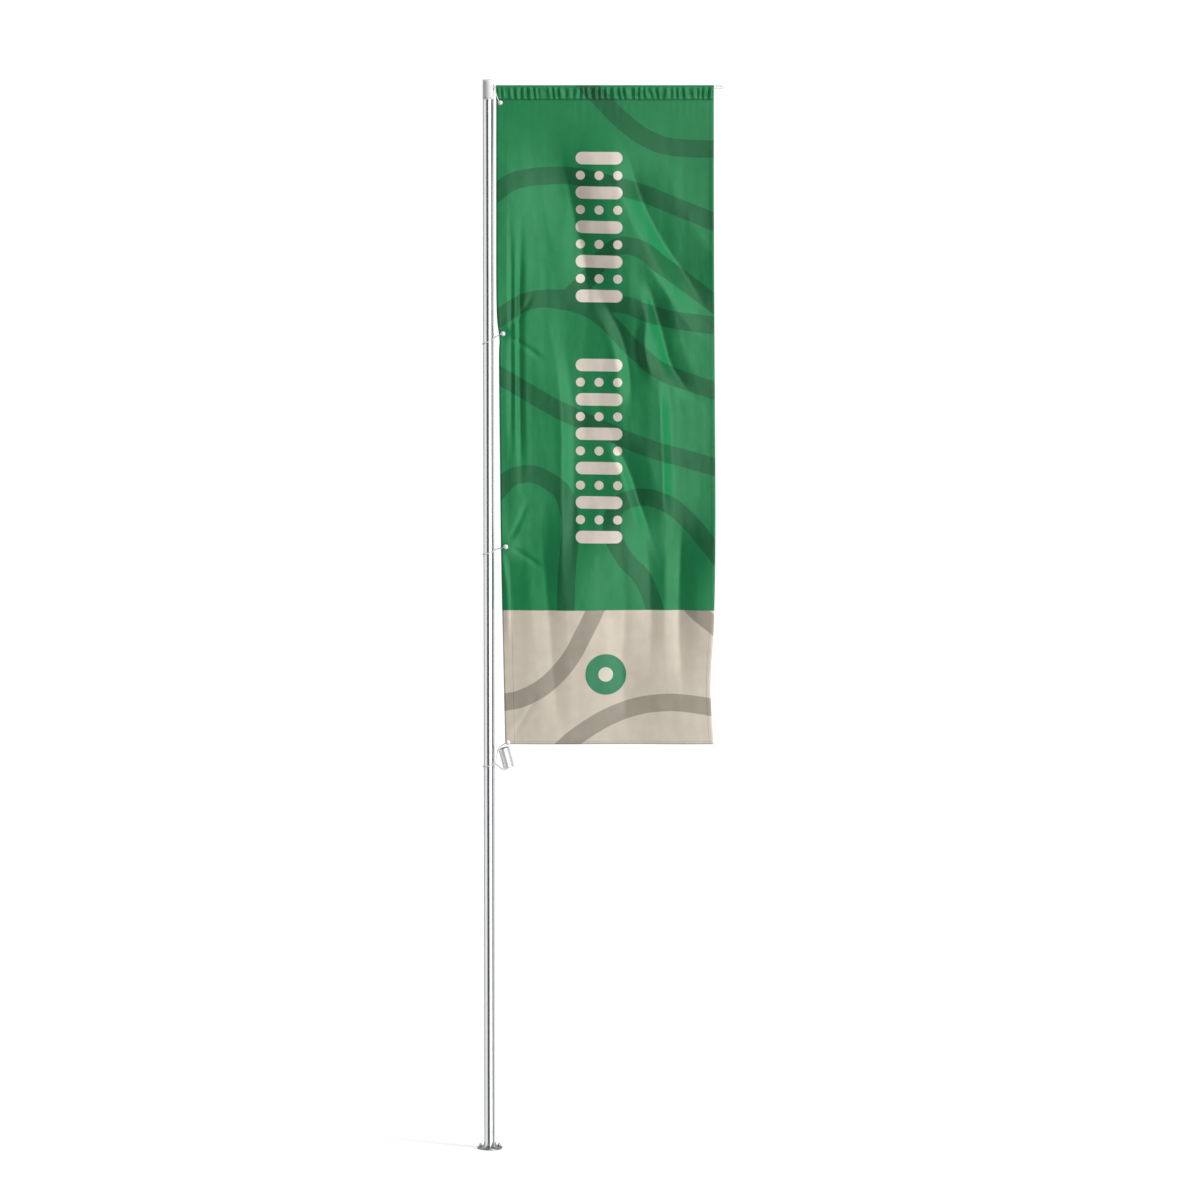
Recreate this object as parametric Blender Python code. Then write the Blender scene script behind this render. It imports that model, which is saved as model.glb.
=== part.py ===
"""Banner flag on a bolted-down mast.

A round mast stands on a flange with six anchor studs. A head turns on top of it and carries a
straight arm. A rectangular banner hangs from the arm in a sewn sleeve, and elastic ties with ball
toggles hold its near edge to the mast. A tubular weight hangs at its lower corner.

Metres, +Z up, +X along the arm. The origin is the centre of the flange's underside.
"""

import math

import bmesh
import bpy
from mathutils import Matrix, Vector

FIT = 0.0003  # gap left between pieces that touch
CUTTER_TURN = math.radians(2.3)  # keeps a cutter's corners off the radial edges of what it cuts

# Base flange and its fasteners
FLANGE_R = 0.0585
FLANGE_T = 0.008
FLANGE_EDGE = 0.0012
SPIGOT_TOP = 0.085
SPIGOT_WALL = 0.0032
STUD_COUNT = 6
STUD_CIRCLE_R = 0.043
STUD_R = 0.004
STUD_TOP = 0.020
HOLE_PLAY = 0.0007
WASHER_R = 0.008
WASHER_T = 0.0016
NUT_FLATS = 0.013
NUT_HEX_H = 0.0070
NUT_DOME_R = 0.0060
NUT_BORE_DEPTH = 0.0110
FOOT_SCREW_Z = 0.045

# Mast
MAST_R = 0.025
MAST_WALL = 0.0025
MAST_TOP = 4.913

# Bearing of the head
STEM_R = 0.010
STEM_BOTTOM = 4.680
STEM_TOP = 4.952
BUSH_FLANGE_T = 0.003
UPPER_BUSH_LENGTH = 0.040
LOWER_BUSH_Z = 4.700
LOWER_BUSH_LENGTH = 0.030
THRUST_WASHER_R = 0.0235
THRUST_WASHER_T = 0.0015
RING_T = 0.0016
RING_R = 0.0145
RING_GROOVE_R = 0.0085
RING_GROOVE_Z = 4.694

# Head
HEAD_R = 0.0258
HEAD_TOP = 5.004
HEAD_ROUND = 0.006
BOSS_R = 0.0130
BOSS_END = 0.0278
STEM_SCREW_R = 0.004
STEM_SCREW_Z = 4.937
ARM_SCREW_R = 0.003
ARM_SCREW_X = 0.006
ARM_SCREW_LENGTH = 0.015

# Arm
ARM_R = 0.007
ARM_WALL = 0.0015
ARM_Z = 4.968
ARM_START = -0.0137
ARM_END = 1.080
ARM_CAP_T = 0.004
ARM_CAP_PLUG = 0.014

# Banner
CLOTH_T = 0.0008
SEAM_Z = 4.912
SLEEVE_TOP = 4.9772
SLEEVE_START = 0.0355
SLEEVE_END = 1.0380
BANNER_BOTTOM = 1.909
NEAR_EDGE = (
    (0.0370, SEAM_Z),
    (0.0370, 3.880),
    (0.0500, 3.800),
    (0.0475, 3.700),
    (0.0560, 2.800),
    (0.0660, 2.300),
    (0.0745, BANNER_BOTTOM),
)
FAR_EDGE = (
    (1.0420, BANNER_BOTTOM),
    (1.0260, 2.220),
    (1.0490, 2.950),
    (1.0450, 3.550),
    (1.0380, SEAM_Z),
)

# Eyelets, balls and elastic
EYELET_BORE_R = 0.0042
EYELET_BARREL_R = 0.0052
EYELET_FLANGE_R = 0.0085
EYELET_FLANGE_T = 0.0008
BALL_R = 0.0115
BALL_Y = -0.0175
BALL_HOLE_R = 0.0027
CORD_R = 0.002
CORD_STEP = 0.010
LOOP_R = 0.0292  # centre line of an elastic round the mast
TOP_EYELET = (0.0550, 4.897)
SIDE_EYELETS = ((0.0660, 3.828), (0.0780, 2.836))
BOTTOM_EYELET = (0.0865, 1.9205)
SIDE_DROPS = (0.050, 0.038)

# Weight
WEIGHT_R = 0.0255
WEIGHT_BORE_R = 0.0170
WEIGHT_LENGTH = 0.0920
WEIGHT_CENTRE = (0.0797, 0.0, 1.8465)
WEIGHT_TILT = math.radians(14.5)
WEIGHT_ROUND = 0.0012
WEIGHT_BUSH_LIP = 0.0015
WEIGHT_BUSH_R = 0.0205
WEIGHT_BUSH_WALL = 0.0015
WEIGHT_BUSH_DEPTH = 0.008
HANG_POINT = (0.0785, 0.0, 1.9020)

# Colour, roughness and metallic value of each finish
ALUMINIUM = ((0.78, 0.79, 0.80), 0.28, 1.0)
STEEL = ((0.62, 0.63, 0.64), 0.30, 1.0)
WHITE_CAST = ((0.88, 0.88, 0.87), 0.38, 0.0)
NYLON = ((0.80, 0.80, 0.76), 0.50, 0.0)
BLACK_MOULDING = ((0.05, 0.05, 0.05), 0.50, 0.0)
WHITE_MOULDING = ((0.90, 0.90, 0.89), 0.35, 0.0)
GREEN_CLOTH = ((0.03, 0.24, 0.10), 0.80, 0.0)
ELASTIC = ((0.85, 0.85, 0.84), 0.85, 0.0)


def clear_scene():
    for old in list(bpy.data.objects):
        bpy.data.objects.remove(old)


def material(name, finish):
    """A Principled material of the piece's own, in one of the finishes above."""
    colour, roughness, metallic = finish
    made = bpy.data.materials.new(name)
    made.use_nodes = True
    shader = made.node_tree.nodes["Principled BSDF"]
    shader.inputs["Base Color"].default_value = (*colour, 1.0)
    shader.inputs["Roughness"].default_value = roughness
    shader.inputs["Metallic"].default_value = metallic
    return made


def frame(name, location=(0, 0, 0), tilt=0.0):
    """An empty on a joint's axis, which the pieces of one moving body are parented to."""
    empty = bpy.data.objects.new(name, None)
    bpy.context.collection.objects.link(empty)
    empty.location = location
    empty.rotation_euler = (0, tilt, 0)
    return empty


def piece(name, bm, finish, body, location=(0, 0, 0), rotation=(0, 0, 0)):
    """Turn a finished bmesh into a named object of one body, with smooth round sides."""
    mesh = bpy.data.meshes.new(name)
    bmesh.ops.recalc_face_normals(bm, faces=bm.faces)
    bm.to_mesh(mesh)
    bm.free()
    mesh.shade_smooth()
    mesh.set_sharp_from_angle(angle=math.radians(35))
    mesh.materials.append(material(name, finish))
    made = bpy.data.objects.new(name, mesh)
    bpy.context.collection.objects.link(made)
    made.location = location
    made.rotation_euler = rotation
    made.parent = body
    return made


def arc(centre_r, centre_z, radius, start, end, steps):
    """Points of (radius, height) along an arc, from start to end in degrees."""
    angles = [math.radians(start + (end - start) * k / steps) for k in range(steps + 1)]
    return [(centre_r + radius * math.cos(a), centre_z + radius * math.sin(a)) for a in angles]


def turned(outline, sides):
    """Turn an outline of (radius, height) points round Z. Its stretch along the axis stays open."""
    bm = bmesh.new()
    points = [bm.verts.new((r, 0, z)) for r, z in outline]
    pairs = zip(points, points[1:] + points[:1])
    edges = [bm.edges.new(pair) for pair in pairs if max(v.co.x for v in pair) > 1e-6]
    bmesh.ops.spin(
        bm,
        geom=points + edges,
        cent=(0, 0, 0),
        axis=(0, 0, 1),
        angle=math.tau,
        steps=sides,
        use_merge=True,
    )
    bmesh.ops.remove_doubles(bm, verts=bm.verts, dist=1e-6)
    return bm


def ring_outline(inner, outer, low, high):
    """The outline of a plain ring."""
    return [(inner, low), (outer, low), (outer, high), (inner, high)]


def cylinder_guide(name, radius, start, end, body, sides=24, turn=CUTTER_TURN):
    """A plain cylinder between two points, kept out of the model, for a Boolean to use."""
    way = Vector(end) - Vector(start)
    bm = turned([(0, 0), (radius, 0), (radius, way.length), (0, way.length)], sides)
    bmesh.ops.rotate(bm, verts=bm.verts, matrix=Matrix.Rotation(turn, 3, "Z"))
    guide = piece(name, bm, STEEL, body, location=start)
    guide.rotation_euler = Vector((0, 0, 1)).rotation_difference(way).to_euler()
    guide.hide_render = True
    guide.display_type = "WIRE"
    return guide


def combine(target, guide, operation="DIFFERENCE"):
    """Cut the guide out of the target, or join it on."""
    boolean = target.modifiers.new(guide.name, "BOOLEAN")
    boolean.operation = operation
    boolean.solver = "EXACT"
    boolean.object = guide


def smooth_route(points, step):
    """Points about one step apart on a smooth curve through the route's own points."""
    route = [Vector(p) for p in points]
    ends = [route[0] * 2 - route[1], *route, route[-1] * 2 - route[-2]]
    line = [route[0]]
    for a, b, c, d in zip(ends, ends[1:], ends[2:], ends[3:]):
        count = max(1, round((c - b).length / step))
        for k in range(1, count + 1):
            t = k / count
            straight = 2 * b + (c - a) * t
            bend = (2 * a - 5 * b + 4 * c - d) * t**2 + (3 * b - a - 3 * c + d) * t**3
            line.append((straight + bend) / 2)
    return line


def cord(name, points, body, location=(0, 0, 0)):
    """A length of round elastic along its route."""
    line = smooth_route(points, CORD_STEP)
    curve = bpy.data.curves.new(name, "CURVE")
    curve.dimensions = "3D"
    curve.bevel_depth = CORD_R
    curve.bevel_resolution = 2
    curve.use_fill_caps = True
    spline = curve.splines.new("POLY")
    spline.points.add(len(line) - 1)
    for point, place in zip(spline.points, line):
        point.co = (*(place - Vector(location)), 1.0)
    curve.materials.append(material(name, ELASTIC))
    made = bpy.data.objects.new(name, curve)
    bpy.context.collection.objects.link(made)
    made.location = location
    made.parent = body
    return made


# Base flange, studs, washers and cap nuts ------------------------------------------------------


def stud_places():
    """The centre of each stud on its circle, the first one along +X."""
    angles = [math.tau * k / STUD_COUNT for k in range(STUD_COUNT)]
    return [(STUD_CIRCLE_R * math.cos(a), STUD_CIRCLE_R * math.sin(a)) for a in angles]


def base_flange(body):
    """A round plate with a welded stub of tube that the mast slips over."""
    spigot_r = MAST_R - MAST_WALL - FIT
    outline = [
        (0, 0),
        (FLANGE_R, 0),
        (FLANGE_R, FLANGE_T - FLANGE_EDGE),
        (FLANGE_R - FLANGE_EDGE, FLANGE_T),
        (spigot_r, FLANGE_T),
        (spigot_r, SPIGOT_TOP),
        (spigot_r - SPIGOT_WALL, SPIGOT_TOP),
        (spigot_r - SPIGOT_WALL, FLANGE_T),
        (0, FLANGE_T),
    ]
    flange = piece("base_flange", turned(outline, 48), STEEL, body)
    for k, (x, y) in enumerate(stud_places(), 1):
        low, high = (x, y, -FLANGE_T), (x, y, 2 * FLANGE_T)
        hole = cylinder_guide(f"stud_hole_{k}", STUD_R + HOLE_PLAY, low, high, body, 12)
        combine(flange, hole)
    return flange


def anchor_stud(k, place, body):
    """A threaded stud that comes up out of the ground through the flange."""
    chamfer = 0.0006
    outline = [(0, 0), (STUD_R, 0), (STUD_R, STUD_TOP - chamfer), (STUD_R - chamfer, STUD_TOP)]
    bm = turned([*outline, (0, STUD_TOP)], 12)
    piece(f"anchor_stud_{k}", bm, STEEL, body, location=(*place, 0))


def base_washer(k, place, body):
    low = FLANGE_T + FIT
    outline = ring_outline(STUD_R + HOLE_PLAY, WASHER_R, low, low + WASHER_T)
    piece(f"base_washer_{k}", turned(outline, 16), STEEL, body, location=(*place, 0))


def cap_nut(k, place, body):
    """A hexagon with a closed dome over the stud's end."""
    dome = arc(0, NUT_HEX_H, NUT_DOME_R, 0, 90, 4)
    dome = [(r, NUT_HEX_H + (z - NUT_HEX_H) * 1.4) for r, z in dome]
    bore = STUD_R + FIT
    hexagon = [(NUT_FLATS / 2, 0), (NUT_FLATS / 2, NUT_HEX_H)]
    outline = [(0, NUT_BORE_DEPTH), (bore, NUT_BORE_DEPTH), (bore, 0), *hexagon, *dome]
    bm = turned(outline, 12)
    for v in bm.verts:
        if v.co.xy.length > NUT_DOME_R + 1e-5:
            off_corner = math.fmod(math.atan2(v.co.y, v.co.x) + math.tau, math.pi / 3)
            v.co.xy = v.co.xy / math.cos(off_corner - math.pi / 6)
    height = FLANGE_T + WASHER_T + 2 * FIT
    piece(f"cap_nut_{k}", bm, STEEL, body, location=(*place, height))


def foot_set_screw(body):
    """A button-head screw at the back that locks the mast on the flange's stub."""
    head_r, head_h, shank = 0.0070, 0.0042, 0.0088
    outline = [(0, -shank), (STUD_R, -shank), (STUD_R, FIT), (head_r, FIT), (head_r, 0.002)]
    outline += [(head_r * 0.6, head_h), (0, head_h)]
    place = (0, MAST_R, FOOT_SCREW_Z)
    bm = turned(outline, 16)
    piece("foot_set_screw", bm, STEEL, body, location=place, rotation=(-math.pi / 2, 0, 0))


def foot_screw_hole(targets, body):
    start = (0, 0.012, FOOT_SCREW_Z)
    end = (0, 0.030, FOOT_SCREW_Z)
    hole = cylinder_guide("foot_screw_hole", STUD_R + FIT, start, end, body, 16)
    for target in targets:
        combine(target, hole)


# Mast and the bearing in its top ---------------------------------------------------------------


def mast_tube(body):
    outline = ring_outline(MAST_R - MAST_WALL, MAST_R, FLANGE_T + FIT, MAST_TOP)
    return piece("mast_tube", turned(outline, 48), ALUMINIUM, body)


def upper_bush(body):
    """A flanged bush pressed into the mast's open end."""
    outer = MAST_R - MAST_WALL - FIT
    bore = STEM_R + FIT
    seat = MAST_TOP + FIT
    outline = [
        (bore, MAST_TOP - UPPER_BUSH_LENGTH),
        (outer, MAST_TOP - UPPER_BUSH_LENGTH),
        (outer, seat),
        (MAST_R, seat),
        (MAST_R, seat + BUSH_FLANGE_T),
        (bore, seat + BUSH_FLANGE_T),
    ]
    piece("upper_bush", turned(outline, 48), NYLON, body)


def lower_bush(body):
    outer = MAST_R - MAST_WALL - FIT
    outline = ring_outline(STEM_R + FIT, outer, LOWER_BUSH_Z, LOWER_BUSH_Z + LOWER_BUSH_LENGTH)
    piece("lower_bush", turned(outline, 48), NYLON, body)


def thrust_washer(body):
    low = MAST_TOP + BUSH_FLANGE_T + 2 * FIT
    outline = ring_outline(STEM_R + FIT, THRUST_WASHER_R, low, low + THRUST_WASHER_T)
    piece("thrust_washer", turned(outline, 32), NYLON, body)


# Head and arm ----------------------------------------------------------------------------------


def head_stem(body):
    """The steel shaft that turns in the bushes, with a groove for its retaining ring."""
    chamfer = 0.0008
    outline = [
        (0, STEM_BOTTOM),
        (STEM_R - chamfer, STEM_BOTTOM),
        (STEM_R, STEM_BOTTOM + chamfer),
        (STEM_R, RING_GROOVE_Z),
        (RING_GROOVE_R, RING_GROOVE_Z),
        (RING_GROOVE_R, RING_GROOVE_Z + RING_T + 2 * FIT),
        (STEM_R, RING_GROOVE_Z + RING_T + 2 * FIT),
        (STEM_R, STEM_TOP),
        (0, STEM_TOP),
    ]
    piece("head_stem", turned(outline, 48), STEEL, body)


def retaining_ring(body):
    """An open spring clip in the stem's groove, under the lower bush."""
    low = RING_GROOVE_Z + FIT
    outline = ring_outline(RING_GROOVE_R + FIT, RING_R, low, low + RING_T)
    ring = piece("retaining_ring", turned(outline, 32), STEEL, body)
    start, end = (0, 0, low + RING_T / 2), (0, -0.03, low + RING_T / 2)
    combine(ring, cylinder_guide("ring_opening", 0.0030, start, end, body, 8))


def head_cap(body):
    """The white head, with a socket for the stem below and one for the arm at its side."""
    low = MAST_TOP + BUSH_FLANGE_T + THRUST_WASHER_T + 3 * FIT - ARM_Z
    top = HEAD_TOP - ARM_Z
    edge = 0.0008
    shoulder = arc(HEAD_R - HEAD_ROUND, top - HEAD_ROUND, HEAD_ROUND, 0, 84, 6)
    outline = [(0, low), (HEAD_R - edge, low), (HEAD_R, low + edge), *shoulder, (0, top + 0.0005)]
    cap = piece("head_cap", turned(outline, 48), WHITE_CAST, body, location=(0, 0, ARM_Z))
    root, mouth = (0.010, 0, ARM_Z), (BOSS_END, 0, ARM_Z)
    boss = cylinder_guide("arm_boss", BOSS_R, root, mouth, body, 32, turn=0)
    combine(cap, boss, "UNION")
    arm_end = ARM_START - FIT
    below, above = MAST_TOP, HEAD_TOP + 0.01
    sockets = (
        ("stem_socket", STEM_R, (0, 0, below), (0, 0, STEM_TOP + FIT), 48),
        ("arm_socket", ARM_R, (arm_end, 0, ARM_Z), (0.05, 0, ARM_Z), 32),
        ("arm_screw_hole", ARM_SCREW_R, (ARM_SCREW_X, 0, ARM_Z), (ARM_SCREW_X, 0, above), 16),
        ("stem_screw_hole", STEM_SCREW_R, (0, 0.005, STEM_SCREW_Z), (0, 0.04, STEM_SCREW_Z), 16),
    )
    for name, radius, start, end, sides in sockets:
        combine(cap, cylinder_guide(name, radius + FIT, start, end, body, sides))


def arm_set_screw(body):
    """A grub screw down through the head's top onto the arm."""
    low = ARM_Z + ARM_R + FIT
    outline = [(0, low), (ARM_SCREW_R, low), (ARM_SCREW_R, low + ARM_SCREW_LENGTH)]
    outline += [(0.0016, low + ARM_SCREW_LENGTH), (0.0016, low + 0.011), (0, low + 0.011)]
    piece("arm_set_screw", turned(outline, 12), STEEL, body, location=(ARM_SCREW_X, 0, 0))


def stem_set_screw(body):
    """A grub screw through the back of the head onto the stem."""
    start, end = STEM_R + FIT, HEAD_R - 0.0015
    outline = [(0, start), (STEM_SCREW_R, start), (STEM_SCREW_R, end)]
    outline += [(0.002, end), (0.002, end - 0.004), (0, end - 0.004)]
    place = (0, 0, STEM_SCREW_Z)
    bm = turned(outline, 12)
    piece("stem_set_screw", bm, STEEL, body, location=place, rotation=(-math.pi / 2, 0, 0))


def arm_tube(body):
    outline = ring_outline(ARM_R - ARM_WALL, ARM_R, ARM_START, ARM_END)
    place = (0, 0, ARM_Z)
    bm = turned(outline, 24)
    piece("arm_tube", bm, ALUMINIUM, body, location=place, rotation=(0, math.pi / 2, 0))


def arm_end_cap(body):
    """A plug that closes the arm's far end."""
    plug_r = ARM_R - ARM_WALL - FIT
    seat = ARM_END + FIT
    outline = [
        (0, ARM_END - ARM_CAP_PLUG),
        (plug_r, ARM_END - ARM_CAP_PLUG),
        (plug_r, seat),
        (ARM_R, seat),
        (ARM_R, seat + ARM_CAP_T - 0.001),
        (ARM_R - 0.001, seat + ARM_CAP_T),
        (0, seat + ARM_CAP_T),
    ]
    place = (0, 0, ARM_Z)
    bm = turned(outline, 24)
    piece("arm_end_cap", bm, STEEL, body, location=place, rotation=(0, math.pi / 2, 0))


# Banner ----------------------------------------------------------------------------------------


def eyelets():
    """The (x, z) centre of every eyelet, from the top down."""
    return [TOP_EYELET, *SIDE_EYELETS, BOTTOM_EYELET]


def banner_cloth(body):
    """The banner below its sleeve's seam, as one flat sheet with a hole for each eyelet."""
    bm = bmesh.new()
    outline = [(x, min(z, SEAM_Z - FIT)) for x, z in (*NEAR_EDGE, *FAR_EDGE)]
    holes = [arc(x, z, EYELET_BARREL_R + FIT, 0, 360, 16)[:-1] for x, z in eyelets()]
    edges = []
    for loop in (outline, *holes):
        points = [bm.verts.new((x, -CLOTH_T / 2, z)) for x, z in loop]
        edges += [bm.edges.new(pair) for pair in zip(points, points[1:] + points[:1])]
    bmesh.ops.triangle_fill(bm, edges=edges, use_beauty=True, normal=(0, -1, 0))
    grown = bmesh.ops.extrude_face_region(bm, geom=bm.faces[:])["geom"]
    moved = [v for v in grown if isinstance(v, bmesh.types.BMVert)]
    bmesh.ops.translate(bm, verts=moved, vec=(0, CLOTH_T, 0))
    piece("banner_cloth", bm, GREEN_CLOTH, body)


def banner_sleeve(body):
    """The sewn tunnel that slides over the arm, flattened towards its seam."""
    around = SLEEVE_TOP - ARM_Z
    steps = 10
    bm = bmesh.new()
    loops = []
    for radius, foot_y, foot_z in ((around, 0.0007, SEAM_Z), (around - CLOTH_T, 0.0002, SEAM_Z + 0.005)):
        section = [(foot_y, foot_z), *arc(0, ARM_Z, radius, -20, 200, steps), (-foot_y, foot_z)]
        loops.append([bm.verts.new((SLEEVE_START, y, z)) for y, z in section])
    outer, inner = loops
    count = len(outer)
    faces = []
    for k in range(count):
        n = (k + 1) % count
        faces.append(bm.faces.new((outer[k], outer[n], inner[n], inner[k])))
    grown = bmesh.ops.extrude_face_region(bm, geom=faces)["geom"]
    moved = [v for v in grown if isinstance(v, bmesh.types.BMVert)]
    bmesh.ops.translate(bm, verts=moved, vec=(SLEEVE_END - SLEEVE_START, 0, 0))
    piece("banner_sleeve", bm, GREEN_CLOTH, body)


def eyelet(k, x, z, body):
    """A metal eyelet clenched over both faces of the cloth."""
    seat = CLOTH_T / 2 + FIT
    face = seat + EYELET_FLANGE_T
    outline = [
        (EYELET_BORE_R, -face),
        (EYELET_FLANGE_R, -face),
        (EYELET_FLANGE_R, -seat),
        (EYELET_BARREL_R, -seat),
        (EYELET_BARREL_R, seat),
        (EYELET_FLANGE_R, seat),
        (EYELET_FLANGE_R, face),
        (EYELET_BORE_R, face),
    ]
    bm = turned(outline, 16)
    piece(f"eyelet_{k}", bm, STEEL, body, location=(x, 0, z), rotation=(math.pi / 2, 0, 0))


def tie_ball(k, x, z, body):
    """A moulded ball in front of the eyelet, with a blind hole for the elastic's ends."""
    mouth = math.sqrt(BALL_R**2 - BALL_HOLE_R**2)
    start = math.degrees(math.atan2(-mouth, BALL_HOLE_R))
    shell = arc(0, 0, BALL_R, start, 90, 9)
    bm = turned([(0, 0), (BALL_HOLE_R, 0), *shell[:-1], (0, BALL_R)], 18)
    place = (x, BALL_Y, z)
    piece(f"tie_ball_{k}", bm, WHITE_MOULDING, body, location=place, rotation=(math.pi / 2, 0, 0))


# Elastic ties ----------------------------------------------------------------------------------


def through_eyelet(x, z):
    """The elastic's first stretch: out of the ball and back through the eyelet."""
    return [(x, -0.0120, z), (x, -0.0020, z), (x - 0.0010, 0.0055, z - 0.0005)]


def round_the_mast(low, high, reach):
    """Half a turn and more round the mast, from behind to in front, sloping down to the far side."""
    slope = (high - low) / (reach + LOOP_R)
    points = []
    for degrees in (72, 108, 144, 180, 216, 252, 288):
        a = math.radians(degrees)
        x = LOOP_R * math.cos(a)
        points.append((x, LOOP_R * math.sin(a), low + slope * (x + LOOP_R)))
    return points


def side_tie(k, x, z, drop, body):
    """From the ball through the eyelet, round the mast and back to the ball's neck."""
    low = z - drop
    slope = drop / (x + LOOP_R)
    back = [(x - 0.014, 0.0150, z - 0.014 * slope - 0.002), (0.030, 0.0245, low + slope * (0.030 + LOOP_R))]
    front = [(0.030, -0.0240, low + slope * (0.030 + LOOP_R)), (x - 0.017, -0.0130, z - 0.007)]
    hook = [(x - 0.008, -0.0060, z - 0.002), (x - 0.0048, -0.0040, z)]
    route = [*through_eyelet(x, z), *back, *round_the_mast(low, z, x), *front, *hook]
    cord(f"side_tie_{k}", route, body)


def top_tie(body):
    """From the ball through the top eyelet, over the arm's root and back to the ball's neck."""
    x, z = TOP_EYELET
    lane = BOSS_END + 0.0036
    reach = ARM_R + CORD_R + 0.0006
    over = []
    for degrees in (0, 45, 90, 135, 180):
        a = math.radians(degrees)
        over.append((lane, reach * math.cos(a), ARM_Z + reach * math.sin(a)))
    back = [(x - 0.008, 0.0110, z + 0.020), (lane + 0.004, 0.0125, z + 0.046)]
    front = [(lane + 0.004, -0.0125, z + 0.044), (x - 0.011, -0.0110, z + 0.018)]
    hook = [(x - 0.0055, -0.0055, z + 0.005), (x - 0.0048, -0.0040, z + 0.001)]
    cord("top_tie", [*through_eyelet(x, z), *back, *over, *front, *hook], body)


def weight_tie_top(body):
    """From the bottom ball through its eyelet and down to the point where the weight hangs."""
    x, z = BOTTOM_EYELET
    down = [(x - 0.0020, 0.0068, z - 0.0085), (x - 0.0052, 0.0035, z - 0.0145), (0.0786, 0, 1.9029)]
    cord("weight_tie_top", [*through_eyelet(x, z), *down], body)


def weight_tie_loop(body):
    """From under the weight round the mast and up over the weight's rim to the ball's neck."""
    x, z = BOTTOM_EYELET
    low, high = 1.8035, 1.8200
    under = [(0.0640, -0.0010, 1.7921), (0.0560, 0.0030, 1.7940), (0.0440, 0.0120, 1.8030)]
    back = [(0.0280, 0.0235, 1.8125)]
    front = [(0.0290, -0.0235, 1.8250), (0.0350, -0.0160, 1.8510), (0.0390, -0.0090, 1.8740)]
    over = [(0.0450, -0.0050, 1.8925), (0.0580, -0.0045, 1.9030), (0.0720, -0.0045, 1.9125)]
    hook = [(x - 0.0048, -0.0042, z - 0.0005)]
    route = [*under, *back, *round_the_mast(low, high, 0.033), *front, *over, *hook]
    cord("weight_tie_loop", route, body)


def weight_tie_bore(body):
    """The stretch that runs down the weight's bore and turns out under its rim."""
    route = [
        (0.0783, 0.0, 1.9011),
        (0.0765, 0.0, 1.8880),
        (0.0775, 0.0, 1.8700),
        (0.0800, 0.0, 1.8465),
        (0.0850, 0.0, 1.8220),
        (0.0875, 0.0, 1.8040),
        (0.0850, -0.0005, 1.7955),
        (0.0780, -0.0010, 1.7915),
        (0.0700, -0.0010, 1.7908),
        (0.0650, -0.0010, 1.7917),
    ]
    cord("weight_tie_bore", route, body, location=HANG_POINT)


# Weight ----------------------------------------------------------------------------------------


def weight_sleeve(body):
    """A length of thick steel tube with eased ends."""
    half = WEIGHT_LENGTH / 2
    seat_r = WEIGHT_BORE_R
    outline = [
        (seat_r, -half),
        (WEIGHT_R - WEIGHT_ROUND, -half),
        (WEIGHT_R, -half + WEIGHT_ROUND),
        (WEIGHT_R, half - WEIGHT_ROUND),
        (WEIGHT_R - WEIGHT_ROUND, half),
        (seat_r, half),
    ]
    piece("weight_sleeve", turned(outline, 40), STEEL, body)


def weight_bush(name, side, body):
    """A lipped liner that keeps the bore's mouth from chafing the elastic."""
    half = WEIGHT_LENGTH / 2
    outer = WEIGHT_BORE_R - FIT
    inner = outer - WEIGHT_BUSH_WALL
    lip = half + FIT
    outline = [
        (inner, half - WEIGHT_BUSH_DEPTH),
        (outer, half - WEIGHT_BUSH_DEPTH),
        (outer, lip),
        (WEIGHT_BUSH_R, lip),
        (WEIGHT_BUSH_R, lip + WEIGHT_BUSH_LIP),
        (inner, lip + WEIGHT_BUSH_LIP),
    ]
    turn = 0 if side > 0 else math.pi
    piece(name, turned(outline, 32), BLACK_MOULDING, body, rotation=(turn, 0, 0))


# The whole flag --------------------------------------------------------------------------------


def build_mast():
    body = frame("mast_frame")
    flange = base_flange(body)
    for k, place in enumerate(stud_places(), 1):
        anchor_stud(k, place, body)
        base_washer(k, place, body)
        cap_nut(k, place, body)
    tube = mast_tube(body)
    foot_screw_hole((flange, tube), body)
    foot_set_screw(body)
    upper_bush(body)
    lower_bush(body)
    thrust_washer(body)


def build_head():
    body = frame("head_axis")
    head_stem(body)
    retaining_ring(body)
    head_cap(body)
    arm_set_screw(body)
    stem_set_screw(body)
    arm_tube(body)
    arm_end_cap(body)
    banner_cloth(body)
    banner_sleeve(body)
    for k, (x, z) in enumerate(eyelets(), 1):
        eyelet(k, x, z, body)
        tie_ball(k, x, z, body)
    top_tie(body)
    for k, ((x, z), drop) in enumerate(zip(SIDE_EYELETS, SIDE_DROPS), 1):
        side_tie(k, x, z, drop, body)
    weight_tie_top(body)
    weight_tie_loop(body)


def build_weight():
    link = frame("weight_hang")
    weight_tie_bore(link)
    axis = frame("weight_axis", location=WEIGHT_CENTRE, tilt=-WEIGHT_TILT)
    weight_sleeve(axis)
    weight_bush("weight_bush_top", 1, axis)
    weight_bush("weight_bush_bottom", -1, axis)


clear_scene()
build_mast()
build_head()
build_weight()
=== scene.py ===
import math

import bmesh
import bpy
import numpy as np
from mathutils import Matrix, Vector, noise


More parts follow.
